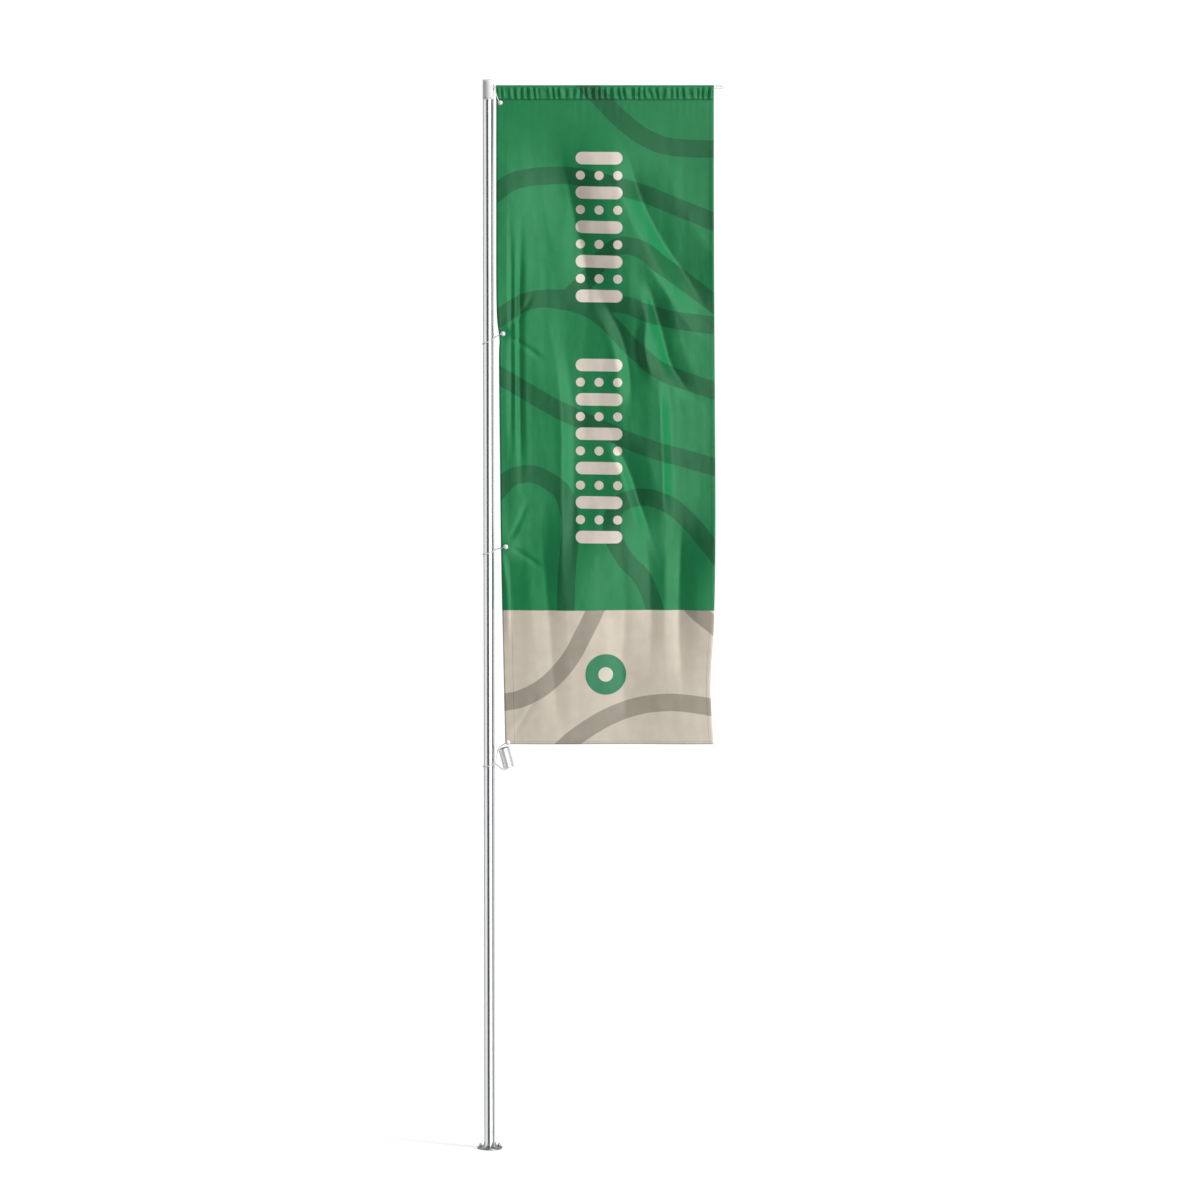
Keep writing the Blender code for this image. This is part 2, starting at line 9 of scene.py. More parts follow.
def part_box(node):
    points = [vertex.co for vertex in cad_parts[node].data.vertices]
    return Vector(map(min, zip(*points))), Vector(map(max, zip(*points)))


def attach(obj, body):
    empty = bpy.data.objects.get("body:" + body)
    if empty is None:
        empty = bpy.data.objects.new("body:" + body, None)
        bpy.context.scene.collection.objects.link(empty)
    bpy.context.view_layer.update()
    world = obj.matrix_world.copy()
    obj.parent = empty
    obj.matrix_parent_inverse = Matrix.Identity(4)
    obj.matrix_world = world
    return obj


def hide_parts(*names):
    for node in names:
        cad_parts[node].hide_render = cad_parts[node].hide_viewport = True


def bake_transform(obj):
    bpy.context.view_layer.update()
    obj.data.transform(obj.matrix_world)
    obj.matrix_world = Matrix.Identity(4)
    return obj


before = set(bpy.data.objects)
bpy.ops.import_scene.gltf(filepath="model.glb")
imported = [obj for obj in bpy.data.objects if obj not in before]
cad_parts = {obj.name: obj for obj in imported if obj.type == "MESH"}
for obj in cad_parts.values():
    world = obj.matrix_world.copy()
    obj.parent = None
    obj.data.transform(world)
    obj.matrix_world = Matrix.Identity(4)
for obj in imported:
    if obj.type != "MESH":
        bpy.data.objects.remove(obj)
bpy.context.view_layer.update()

# Camera. A long lens stands far off, square to the banner and eight degrees above the horizon.
# The flag takes nine tenths of the picture's height, with the mast left of the middle.
view_height = 5.56
lens_mm, sensor_mm = 300, 36
camera_tilt = math.radians(8)
looked_at = Vector((0.5144, 0.0, 2.585))
camera_data = bpy.data.cameras.new("camera")
camera_data.lens, camera_data.sensor_width = lens_mm, sensor_mm
camera_data.clip_end = 200
camera = bpy.data.objects.new("camera", camera_data)
camera_distance = view_height * lens_mm / sensor_mm
camera_offset = Vector((0, -math.cos(camera_tilt), math.sin(camera_tilt)))
camera.location = looked_at + camera_distance * camera_offset
camera.rotation_euler = (math.pi / 2 - camera_tilt, 0, 0)
bpy.context.collection.objects.link(camera)
bpy.context.scene.camera = camera


# Foot plate. A round plate of stainless steel, turned from bar and brushed in rings, with six
# holes for the anchor studs. It stands on the ground, and a stub welded to it carries the mast.
def linear(hex_colour):
    """An sRGB hex colour as linear RGBA."""
    channels = [int(hex_colour[i : i + 2], 16) / 255 for i in (1, 3, 5)]
    return (
        *(c / 12.92 if c <= 0.04045 else ((c + 0.055) / 1.055) ** 2.4 for c in channels),
        1.0,
    )


def add(tree, kind, settings, inputs):
    """Adds one node. An input is given a value, or is linked where it is given a socket."""
    node = tree.nodes.new("ShaderNode" + kind)
    for key, value in settings.items():
        setattr(node, key, value)
    for key, value in inputs.items():
        if isinstance(value, bpy.types.NodeSocket):
            tree.links.new(value, node.inputs[key])
        else:
            node.inputs[key].default_value = value
    return node


def finish_of(name, sockets):
    """A new material with a Principled shader, whose plain sockets are set here."""
    material = bpy.data.materials.new(name)
    material.use_nodes = True
    shader = material.node_tree.nodes["Principled BSDF"]
    for key, value in sockets.items():
        shader.inputs[key].default_value = value
    return material, material.node_tree, shader


def mottle(tree, scale, detail=2.0, place=None):
    """Cloudy noise over a piece, from nought to one, with spots about 1 / scale metres wide."""
    place = place or add(tree, "TexCoord", {}, {}).outputs["Object"]
    inputs = {"Vector": place, "Scale": scale, "Detail": detail}
    return add(tree, "TexNoise", {}, inputs).outputs["Fac"]


def set_shine(tree, shader, value, low, high, first=0.0, last=1.0):
    """Lets the roughness wander from low to high while a value goes from first to last."""
    span = {"From Min": first, "From Max": last, "To Min": low, "To Max": high}
    rough = add(tree, "MapRange", {}, {"Value": value, **span})
    tree.links.new(rough.outputs["Result"], shader.inputs["Roughness"])


def set_relief(tree, shader, value, strength, distance):
    """Gives the surface a fine relief."""
    inputs = {"Height": value, "Strength": strength, "Distance": distance}
    bump = add(tree, "Bump", {}, inputs)
    tree.links.new(bump.outputs["Normal"], shader.inputs["Normal"])


def new_object(shape, name, material):
    """Turns a finished bmesh into an object in the scene."""
    mesh = bpy.data.meshes.new(name)
    shape.to_mesh(mesh)
    shape.free()
    mesh.materials.append(material)
    thing = bpy.data.objects.new(name, mesh)
    bpy.context.collection.objects.link(thing)
    return thing


def make_piece(shape, name, material, body, stands_for, crease=35):
    """Turns a finished bmesh into a smooth-shaded piece that rides on a body. Hard pieces take
    their shading from their large faces, so that a small rounded edge does not bend it."""
    bmesh.ops.remove_doubles(shape, verts=shape.verts, dist=1e-6)
    bmesh.ops.recalc_face_normals(shape, faces=shape.faces)
    piece = new_object(shape, name, material)
    piece.data.shade_smooth()
    piece.data.set_sharp_from_angle(angle=math.radians(crease))
    if crease < 180:
        shading = piece.modifiers.new("shading", "WEIGHTED_NORMAL")
        shading.keep_sharp, shading.weight = True, 100
    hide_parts(*stands_for)
    if body:
        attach(piece, body)
    return piece


def ease_edges(shape, width, steps=2, chosen=None):
    """Rounds the chosen edges, or every edge that is sharper than about thirty degrees."""
    sharp = [e for e in shape.edges if e.is_manifold and e.calc_face_angle() > 0.5]
    bmesh.ops.bevel(
        shape,
        geom=chosen or sharp,
        offset=width,
        offset_type="OFFSET",
        segments=steps,
        profile=0.5,
        affect="EDGES",
        clamp_overlap=not chosen,
        material=-1,
    )


def arc(r, h, wide, high, first, last, steps):
    """Points of an outline on an arc round (r, h), from one angle to another in degrees."""
    turns = [math.radians(first + (last - first) * step / steps) for step in range(steps + 1)]
    return [(r + wide * math.cos(turn), h + high * math.sin(turn)) for turn in turns]


brushed, tree, shader = finish_of(
    "brushed stainless steel",
    {"Metallic": 1.0, "Base Color": linear("#909193"), "Roughness": 0.34, "Anisotropic": 0.4},
)
# Fine turning rings 0.8 mm apart and faint handling marks: a soft, slightly uneven metal sheen.
place = add(tree, "TexCoord", {}, {})
wave = {"Vector": place.outputs["Object"], "Scale": 390.0, "Distortion": 1.5, "Detail": 2.0}
rings = add(tree, "TexWave", {"wave_type": "RINGS", "rings_direction": "Z"}, wave)
set_shine(tree, shader, mottle(tree, 60.0, 5.0), 0.26, 0.44, 0.3, 0.7)
set_relief(tree, shader, rings.outputs["Fac"], 0.12, 0.0003)

flange_radius, flange_thickness = 0.0585, 0.008
stud_circle, stud_hole = 0.043, 0.0047
stud_places = arc(0, 0, stud_circle, stud_circle, 0, 300, 5)
stud_spots = [Matrix.Translation((x, y, 0)) for x, y in stud_places]
stub_bore = 0.0216

shape = bmesh.new()
bmesh.ops.create_circle(shape, segments=144, radius=flange_radius)
bmesh.ops.create_circle(shape, segments=64, radius=stub_bore)
for spot in stud_spots:
    bmesh.ops.create_circle(shape, segments=32, radius=stud_hole, matrix=spot)
bmesh.ops.triangle_fill(shape, edges=shape.edges[:], use_beauty=True)
raised = bmesh.ops.extrude_face_region(shape, geom=shape.faces[:])["geom"]
bmesh.ops.translate(
    shape,
    verts=[v for v in raised if isinstance(v, bmesh.types.BMVert)],
    vec=(0, 0, flange_thickness),
)
bmesh.ops.recalc_face_normals(shape, faces=shape.faces)
rim = [
    e
    for e in shape.edges
    if abs(e.verts[0].co.z - e.verts[1].co.z) < 1e-6
    and min(v.co.xy.length for v in e.verts) > flange_radius - 1e-5
    and e.calc_face_angle() > 0.5
]
ease_edges(shape, 0.0016, 3, rim)
make_piece(shape, "foot_plate", brushed, "mast", ["base_flange"])


# Stub. A short stainless tube, welded to the plate, that stands inside the mast's foot.
def turned(profile, segments=96, turn=Matrix.Identity(4)):
    """A round solid: the (radius, height) outline is spun about Z, closed at the axis or round a
    bore, and then placed by turn."""
    shape = bmesh.new()
    corners = [shape.verts.new((r, 0, h)) for r, h in profile]
    bored = profile[0][0] > 0
    pairs = zip(corners, corners[1:] + (corners[:1] if bored else []))
    edges = [shape.edges.new(pair) for pair in pairs]
    bmesh.ops.spin(
        shape,
        geom=corners + edges,
        cent=(0, 0, 0),
        axis=(0, 0, 1),
        angle=2 * math.pi,
        steps=segments,
        use_merge=True,
        use_duplicate=False,
    )
    bmesh.ops.remove_doubles(shape, verts=shape.verts, dist=1e-6)
    bmesh.ops.recalc_face_normals(shape, faces=shape.faces)
    bmesh.ops.transform(shape, matrix=turn, verts=shape.verts)
    return shape


def tube(bore, radius, low, high):
    """The outline of a plain tube or ring."""
    return [(bore, low), (radius, low), (radius, high), (bore, high)]


stub_outer, stub_inner, stub_foot, stub_top = 0.0221, 0.0196, 0.0004, 0.085
profile = [(stub_bore, stub_foot), (stub_outer, 0.0084), (stub_outer, 0.084)]
profile += [(stub_outer - 0.001, stub_top), (stub_inner, stub_top), (stub_inner, stub_foot)]
shape = turned(profile)
make_piece(shape, "foot_stub", brushed, "mast", [])

# Washers and domed nuts. Six M8 anchor studs come up through the plate, and each has a plain
# washer and a cap nut of stainless steel, cold formed and tumbled bright.
bright_steel, tree, shader = finish_of(
    "tumbled stainless steel",
    {"Metallic": 1.0, "Base Color": linear("#A9AAAC"), "Roughness": 0.28},
)
# Tumbling leaves small soft dents about 2 mm apart, so the shine is broken up, not mirror-like.
dents = mottle(tree, 500.0, 3.0)
set_shine(tree, shader, dents, 0.18, 0.42)
set_relief(tree, shader, dents, 0.1, 0.0002)

washer_radius, washer_thickness = 0.008, 0.0016
nut_flats, nut_hex_height, nut_dome_radius, nut_height = 0.013, 0.0070, 0.0060, 0.0154
play = 0.0003
washer_foot = flange_thickness + play
washer_bore, washer_top = stud_hole - play, washer_foot + washer_thickness
nut_foot = washer_top + play
hex_top, dome_sink = nut_foot + nut_hex_height, 0.001
# The dome rises from a waist on the hexagon, whose upper corners are turned off.
dome = [(0.0, nut_foot + nut_height)]
dome += arc(0, hex_top, nut_dome_radius, nut_height - nut_hex_height, 90, 0, 12)[1:]
dome += [(nut_dome_radius, hex_top - dome_sink), (0.0, hex_top - dome_sink)]
for stud, spot in enumerate(stud_spots, 1):
    shape = turned(tube(washer_bore, washer_radius, washer_foot, washer_top), 48, spot)
    ease_edges(shape, 0.0003)
    node = f"base_washer_{stud}"
    make_piece(shape, f"washer_{stud}", bright_steel, "mast", [node])
    shape = turned(dome, 40)
    bottom = bmesh.ops.create_circle(
        shape,
        cap_ends=True,
        segments=6,
        radius=nut_flats / math.sqrt(3),
        matrix=Matrix.Translation((0, 0, nut_foot)),
    )["verts"]
    block = bmesh.ops.extrude_face_region(shape, geom=list(bottom[0].link_faces))["geom"]
    block_top = [v for v in block if isinstance(v, bmesh.types.BMVert)]
    bmesh.ops.translate(shape, verts=block_top, vec=(0, 0, nut_hex_height))
    block_verts = set(bottom) | set(block_top)
    bmesh.ops.recalc_face_normals(shape, faces=shape.faces)
    ease_edges(shape, 0.0006, 2, [e for e in shape.edges if block_verts.issuperset(e.verts)])
    bmesh.ops.transform(shape, matrix=spot, verts=shape.verts)
    node = f"cap_nut_{stud}"
    make_piece(shape, f"domed_nut_{stud}", bright_steel, "mast", [node])
    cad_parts[f"anchor_stud_{stud}"].material_slots[0].material = bright_steel


# Mast. One straight 50 mm aluminium tube, drawn, brushed lightly along its length and anodised
# in its natural colour. It slides over the stub and is locked there by a screw at the back.
def set_tone(tree, shader, share, dark, light):
    """Lets the colour wander between two tones."""
    mix = {"Factor": share, 6: linear(dark), 7: linear(light)}
    tone = add(tree, "Mix", {"data_type": "RGBA"}, mix)
    tree.links.new(tone.outputs[2], shader.inputs["Base Color"])


anodised, tree, shader = finish_of(
    "satin anodised aluminium",
    {"Metallic": 1.0, "Base Color": linear("#DCDDDF"), "Roughness": 0.17},
)
# Drawing lines run along the tube, 1 to 2 mm apart, and the anodising is slightly uneven:
# sharp upright bands of light with faint long streaks in them.
place = add(tree, "TexCoord", {}, {})
along = add(tree, "Mapping", {}, {"Vector": place.outputs["Object"], "Scale": (1.0, 1.0, 0.012)})
streaks = mottle(tree, 700.0, 4.0, along.outputs["Vector"])
set_tone(tree, shader, mottle(tree, 60.0, 2.0, along.outputs["Vector"]), "#D2D3D6", "#E6E7E8")
set_shine(tree, shader, streaks, 0.10, 0.24)
set_relief(tree, shader, streaks, 0.05, 0.0002)

mast_radius, mast_wall = 0.025, 0.0025
mast_foot, mast_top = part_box("mast_tube")[0][2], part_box("mast_tube")[1][2]
rises = [mast_foot + (mast_top - mast_foot) * step / 24 for step in range(25)]
outside = [(mast_radius, rise) for rise in rises]
inside = [(mast_radius - mast_wall, rise) for rise in reversed(rises)]
shape = turned(outside + inside, 128)
ease_edges(shape, 0.0005)
make_piece(shape, "mast", anodised, "mast", ["mast_tube"])


# Screws. Button-head and headless screws of stainless steel with a hexagonal socket: one locks
# the mast on its stub, one holds the head on its stem, and one holds the arm in the head.
def socket_screw(name, body, node, profile, socket, depth, turn):
    """A screw whose dome or chamfer follows profile down from the rim of its flat end."""
    shape = bmesh.new()
    flat_radius, top = profile[0]
    level = Matrix.Translation((0, 0, top))
    bmesh.ops.create_circle(shape, segments=48, radius=flat_radius, matrix=level)
    front = shape.edges[:]
    corners = bmesh.ops.create_circle(
        shape, segments=6, radius=socket / math.sqrt(3), matrix=level
    )["verts"]
    socket_edges = [e for e in shape.edges if e.verts[0] in corners]
    bmesh.ops.triangle_fill(shape, edges=shape.edges[:], use_beauty=True)
    for radius, height in profile[1:]:
        grown = bmesh.ops.extrude_edge_only(shape, edges=front)["geom"]
        front = [e for e in grown if isinstance(e, bmesh.types.BMEdge)]
        for corner in {v for e in front for v in e.verts}:
            corner.co.xy = corner.co.xy.normalized() * radius
            corner.co.z = height
    bmesh.ops.edgeloop_fill(shape, edges=front)
    grown = bmesh.ops.extrude_edge_only(shape, edges=socket_edges)["geom"]
    low_edges = [e for e in grown if isinstance(e, bmesh.types.BMEdge)]
    for corner in {v for e in low_edges for v in e.verts}:
        corner.co.z -= depth
    bmesh.ops.edgeloop_fill(shape, edges=low_edges)
    bmesh.ops.transform(shape, matrix=turn, verts=shape.verts)
    return make_piece(shape, name, bright_steel, body, [node])


to_the_back = Matrix.Rotation(-math.pi / 2, 4, "X")
foot_screw_height = 0.045
place = Matrix.Translation((0, mast_radius, foot_screw_height)) @ to_the_back
button = [(0.0038, 0.0042), (0.0052, 0.0038), (0.0063, 0.0028), (0.0069, 0.0014)]
button += [(0.0070, 0.0002), (0.0040, 0.0001), (0.0040, -0.0020)]
socket_screw("foot_screw", "mast", "foot_set_screw", button, 0.0040, 0.0024, place)

# Bushes and thrust washer. Turned nylon: two bushes pressed into the mast's top and a loose ring
# that the head turns on. Only the upper bush's flange and the ring show, as thin pale lines.
nylon, tree, shader = finish_of(
    "turned natural nylon",
    {"Base Color": linear("#E9E6DC"), "Roughness": 0.42, "Subsurface Weight": 0.1, "IOR": 1.53},
)
# Lathe lines 0.5 mm apart and a faint waxy unevenness.
place = add(tree, "TexCoord", {}, {})
wave = {"Vector": place.outputs["Object"], "Scale": 620.0, "Distortion": 0.6}
lathe = add(tree, "TexWave", {"bands_direction": "Z"}, wave)
set_tone(tree, shader, mottle(tree, 90.0), "#E1DDD0", "#F1EFE8")
set_relief(tree, shader, lathe.outputs["Fac"], 0.1, 0.0001)

for node in ("upper_bush", "lower_bush", "thrust_washer"):
    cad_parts[node].material_slots[0].material = nylon
for node in ("head_stem", "retaining_ring"):
    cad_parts[node].material_slots[0].material = bright_steel


# Head. A white nylon moulding with a rounded top, which turns with the banner on its stem. A
# short boss on one side holds the arm.
white_moulding, tree, shader = finish_of(
    "white moulded nylon",
    {
        "Base Color": linear("#DADADB"),
        "Roughness": 0.40,
        "IOR": 1.53,
        "Specular IOR Level": 0.3,
        "Subsurface Weight": 0.8,
        "Subsurface Radius": (1.0, 1.0, 1.0),
        "Subsurface Scale": 0.02,
    },
)
# Spark-eroded moulds leave a fine even grain, drawn here 0.6 mm wide so that it shows, and
# outdoor dust greys it slightly in clouds.
set_tone(tree, shader, mottle(tree, 45.0, 4.0), "#D4D4D5", "#E0E0E0")
set_relief(tree, shader, mottle(tree, 1600.0), 0.12, 0.0001)

head_radius, head_edge, head_crown = 0.0258, 0.006, 0.0005
head_low, head_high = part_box("head_cap")[0][2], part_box("head_cap")[1][2]
head_chamfer = 0.0008
stem_radius, stem_socket_top = 0.0103, 4.953
arm_height = 4.968
edge_centre = (head_radius - head_edge, head_high - head_crown - head_edge)
profile = [(0.0, head_high)] + arc(*edge_centre, head_edge, head_edge, 90, 0, 8)
profile += [
    (head_radius, head_low + head_chamfer),
    (head_radius - head_chamfer, head_low),
    (stem_radius, head_low),
    (stem_radius, stem_socket_top),
    (0.0, stem_socket_top),
]
shape = turned(profile, 128)
along_the_arm = Matrix.Translation((0, 0, arm_height)) @ Matrix.Rotation(math.pi / 2, 4, "Y")
profile = [(0.0, 0.0200), (0.0140, 0.0200), (0.0140, 0.0248), (0.0131, 0.0262)]
profile += [(0.0130, 0.0270), (0.0122, 0.0278), (0.0080, 0.0278), (0.0078, 0.0272)]
boss = turned(profile + [(0.0, 0.0272)], 64, along_the_arm)
joined = bpy.data.meshes.new("boss")
boss.to_mesh(joined)
boss.free()
shape.from_mesh(joined)
bpy.data.meshes.remove(joined)
make_piece(shape, "head", white_moulding, "head", ["head_cap"])

stem_screw_height, arm_screw_x = 4.937, 0.006
grub = [(0.0030, 0.0003), (0.0037, -0.0002), (0.0040, -0.0006), (0.0040, -0.0050)]
place = Matrix.Translation((0, head_radius, stem_screw_height)) @ to_the_back
socket_screw("stem_screw", "head", "stem_set_screw", grub, 0.0030, 0.0022, place)
place = Matrix.Translation((arm_screw_x, 0, head_high - 0.0002))
smaller_grub = [(r * 0.75, h) for r, h in grub]
socket_screw("arm_screw", "head", "arm_set_screw", smaller_grub, 0.0024, 0.0020, place)

# Arm. A 14 mm aluminium tube, anodised like the mast, which lies in the head's boss and carries
# the banner's sleeve. Its far end is closed by a pressed-in plug.
arm_radius, arm_wall = 0.007, 0.0015
arm_start, arm_end = -0.0137, 1.080
outside = [(arm_radius, along) for along in (arm_start, 0.30, 0.62, arm_end)]
inside = [(arm_radius - arm_wall, along) for along in (arm_end, arm_start)]
shape = turned(outside + inside, 64, along_the_arm)
ease_edges(shape, 0.0003)
make_piece(shape, "arm", anodised, "head", ["arm_tube"])
plug_start, plug_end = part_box("arm_end_cap")[0][0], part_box("arm_end_cap")[1][0]
plug_radius, plug_neck = 0.0068, arm_radius - arm_wall - play
profile = [(0.0, plug_end), (0.0038, plug_end - 0.0003), (0.0058, plug_end - 0.0013)]
profile += [(plug_radius, plug_end - 0.0028), (plug_radius, arm_end + play)]
profile += [(plug_neck, arm_end + play), (plug_neck, plug_start), (0.0, plug_start)]
shape = turned(profile, 64, along_the_arm)
make_piece(shape, "arm_plug", white_moulding, "head", ["arm_end_cap"])


# Banner. One length of woven polyester, about 1 m by 3 m below the sleeve's seam, dye printed
# right through. Hems are turned and stitched at both sides, and the near side is held to the mast.
def smooth_path(points, pieces=12):
    """Points along a smooth curve through given points, which may be flat or in space."""
    ends = [
        tuple(2 * a - b for a, b in zip(points[0], points[1])),
        *points,
        tuple(2 * a - b for a, b in zip(points[-1], points[-2])),
    ]

    def between(a, b, c, d, t):
        bend = (2 * a - 5 * b + 4 * c - d) * t * t + (3 * b - a - 3 * c + d) * t**3
        return 0.5 * (2 * b + (c - a) * t + bend)

    path = []
    for corners in zip(ends, ends[1:], ends[2:], ends[3:]):
        for step in range(pieces):
            path.append(tuple(between(*values, step / pieces) for values in zip(*corners)))
    return path + [tuple(points[-1])]


def nearest(path, x, z):
    """How far each cloth point lies from a path, which side it is on, and how far along."""
    line = np.array(path)
    lengths = np.linalg.norm(np.diff(line, axis=0), axis=1)
    done = np.concatenate([[0], np.cumsum(lengths)])
    best, side, share = np.full(x.shape, 9.0), np.ones(x.shape), np.zeros(x.shape)
    for (ax, az), (bx, bz), length, start in zip(line, line[1:], lengths, done):
        dx, dz = (bx - ax) / length, (bz - az) / length
        run = np.clip((x - ax) * dx + (z - az) * dz, 0, length)
        off_x, off_z = x - ax - run * dx, z - az - run * dz
        gap = np.hypot(off_x, off_z)
        closer = gap < best
        best = np.where(closer, gap, best)
        side = np.where(closer, np.sign(dz * off_x - dx * off_z + 1e-12), side)
        share = np.where(closer, (start + run) / done[-1], share)
    return best, side, share


seam_height, banner_foot, colour_line = 4.912, 1.909, 2.536
near_edge = smooth_path(
    [(0.0370, 4.912), (0.0362, 4.40), (0.0372, 3.95), (0.0500, 3.800), (0.0478, 3.700)]
    + [(0.0520, 3.20), (0.0560, 2.800), (0.0660, 2.300), (0.0745, 1.909)]
)
far_edge = smooth_path(
    [(1.0380, 4.912), (1.0400, 4.30), (1.0450, 3.550), (1.0490, 2.950), (1.0430, 2.50)]
    + [(1.0275, 2.220), (1.0310, 2.06), (1.0420, 1.909)]
)

# Each fold is a crest towards the viewer, or a valley where its height is below nought: its line
# from top to foot, its height, and how far it reaches to the left and right of the line.
folds = [
    ([(0.098, 4.42), (0.104, 4.00), (0.102, 3.20)], 0.0045, 0.014, 0.012),
    ([(0.150, 4.36), (0.140, 3.95), (0.142, 3.55), (0.150, 3.10)], 0.0065, 0.022, 0.013),
    ([(0.330, 4.72), (0.385, 4.42), (0.440, 4.18), (0.470, 3.90)], 0.0120, 0.110, 0.095),
    ([(0.500, 4.02), (0.590, 3.86), (0.640, 3.70), (0.660, 3.45)], 0.0120, 0.120, 0.040),
    ([(0.300, 3.78), (0.335, 3.50), (0.340, 3.10), (0.335, 2.62)], -0.0110, 0.040, 0.110),
    ([(0.62, 4.72), (0.70, 4.46), (0.79, 4.27), (0.93, 4.06), (1.02, 3.92)], 0.0180, 0.120, 0.060),
    ([(0.700, 4.20), (0.800, 4.05), (0.900, 3.90), (1.000, 3.78)], -0.0060, 0.050, 0.060),
    ([(0.720, 4.10), (0.790, 3.86), (0.850, 3.66), (0.960, 3.52)], 0.0130, 0.060, 0.035),
    ([(0.730, 3.92), (0.720, 3.76), (0.760, 3.60)], -0.0080, 0.040, 0.030),
    ([(0.785, 3.66), (0.800, 3.40), (0.810, 3.10), (0.820, 2.90)], -0.0120, 0.035, 0.120),
    ([(0.560, 3.36), (0.640, 3.20), (0.700, 3.02), (0.760, 2.84)], 0.0110, 0.080, 0.030),
    ([(0.900, 3.00), (0.885, 2.75), (0.880, 2.45), (0.900, 2.10)], 0.0120, 0.110, 0.050),
    ([(0.240, 2.95), (0.270, 2.60), (0.300, 2.20), (0.330, 1.92)], 0.0070, 0.060, 0.060),
    ([(0.640, 2.60), (0.620, 2.30), (0.640, 1.95)], 0.0080, 0.120, 0.070),
    ([(0.690, 3.02), (0.735, 2.78), (0.750, 2.52), (0.740, 2.20)], 0.0090, 0.200, 0.070),
    ([(0.055, 2.86), (0.085, 2.62), (0.090, 2.35)], -0.0040, 0.014, 0.020),
    ([(0.066, 3.828), (0.150, 3.78), (0.260, 3.70)], 0.0030, 0.014, 0.014),
    ([(0.066, 3.828), (0.140, 3.90), (0.210, 4.02)], 0.0026, 0.014, 0.016),
    ([(0.078, 2.836), (0.150, 2.80), (0.250, 2.73)], 0.0028, 0.014, 0.014),
    ([(0.078, 2.836), (0.130, 2.93), (0.180, 3.05)], 0.0026, 0.014, 0.016),
    ([(0.090, 1.925), (0.150, 2.01), (0.230, 2.16)], 0.0030, 0.016, 0.018),
]
columns, rows = 116, 344


def ramp(share):
    """Nought below nought and one above one, with an eased rise between them."""
    share = np.clip(share, 0, 1)
    return share * share * (3 - 2 * share)


shape = bmesh.new()
bmesh.ops.create_grid(
    shape,
    x_segments=columns,
    y_segments=rows,
    size=0.5,
    matrix=Matrix.Rotation(math.pi / 2, 4, "X"),
)
across = np.array([v.co.x for v in shape.verts]) + 0.5
height = np.array([v.co.z for v in shape.verts]) + 0.5
z = banner_foot + height * (seam_height - banner_foot)
near_line, far_line = np.array(near_edge[::-1]), np.array(far_edge[::-1])
near_x = np.interp(z, near_line[:, 1], near_line[:, 0])
far_x = np.interp(z, far_line[:, 1], far_line[:, 0])
x = near_x + across * (far_x - near_x)

# The eyelets' places: the cloth stays flat there, and its grid opens round each bore.
eyelets = [(0.0550, 4.897), (0.0660, 3.828), (0.0780, 2.836), (0.0865, 1.9205)]
fold_strength, fold_softness, fold_taper, fold_least = 1.9, 1.35, 0.3, 0.1
depth = np.zeros(len(x))
for line, crest, left_reach, right_reach in folds:
    gap, side, share = nearest(smooth_path(line, 8), x, z)
    reach = np.where(side > 0, right_reach, left_reach) * fold_softness
    swell = np.clip(1 - gap / reach, 0, 1) ** fold_softness
    tapered = ramp(np.minimum(share, 1 - share) / fold_taper)
    depth += fold_strength * crest * swell * (tapered * (1 - fold_least) + fold_least)
# Ripples of three sizes, a slow sway that shifts towards the foot, and faint gathers under the
# seam. The seam keeps the top flat, and the weighted foot hangs straighter than the middle.
ripples = np.array(
    [
        0.0070 * noise.noise(Vector((u / 0.20 + 3.1, w / 0.90, 0.4)))
        + 0.0016 * noise.noise(Vector((u / 0.055, w / 0.28 + 0.8 * u, 5.2)))
        + 0.0004 * noise.noise(Vector((u / 0.020, w / 0.060, 9.7)))
        for u, w in zip(x, z)
    ]
)
drift = 2.4 * ramp((3.1 - z) / 0.5)
sway_width, sway_depth = 0.62, 0.014
swing = 2 * math.pi * (x - 0.12) / sway_width + 1.1 * np.sin(1.3 * z) + drift
below = seam_height - z
gather_width, gather_depth, gather_drop = 0.034, 0.0009, 0.05
uneven = np.array([0.5 + 0.9 * noise.noise(Vector((u / 0.11, 4.4, 0.0))) for u in x])
gathers = gather_depth * uneven * np.sin(2 * math.pi * x / gather_width + 3.4 * np.sin(7 * x))
gathers *= np.clip(below / 0.02 - 0.4, 0, 1) * np.exp(-below / gather_drop)
weighed = np.clip((z - 2.0) / 0.7, 0.45, 1)
depth += ripples * 1.3 + sway_depth * np.sin(swing)
depth = depth * ramp(below / 0.5) * weighed + gathers
calm_reach = 0.045
for hole_x, hole_z in eyelets:
    gap = np.hypot(x - hole_x, z - hole_z)
    depth *= 1 - np.exp(-((gap / calm_reach) ** 2))
for v, new_x, new_y, new_z in zip(shape.verts, x, depth, z):
    v.co = (new_x, new_y, new_z)

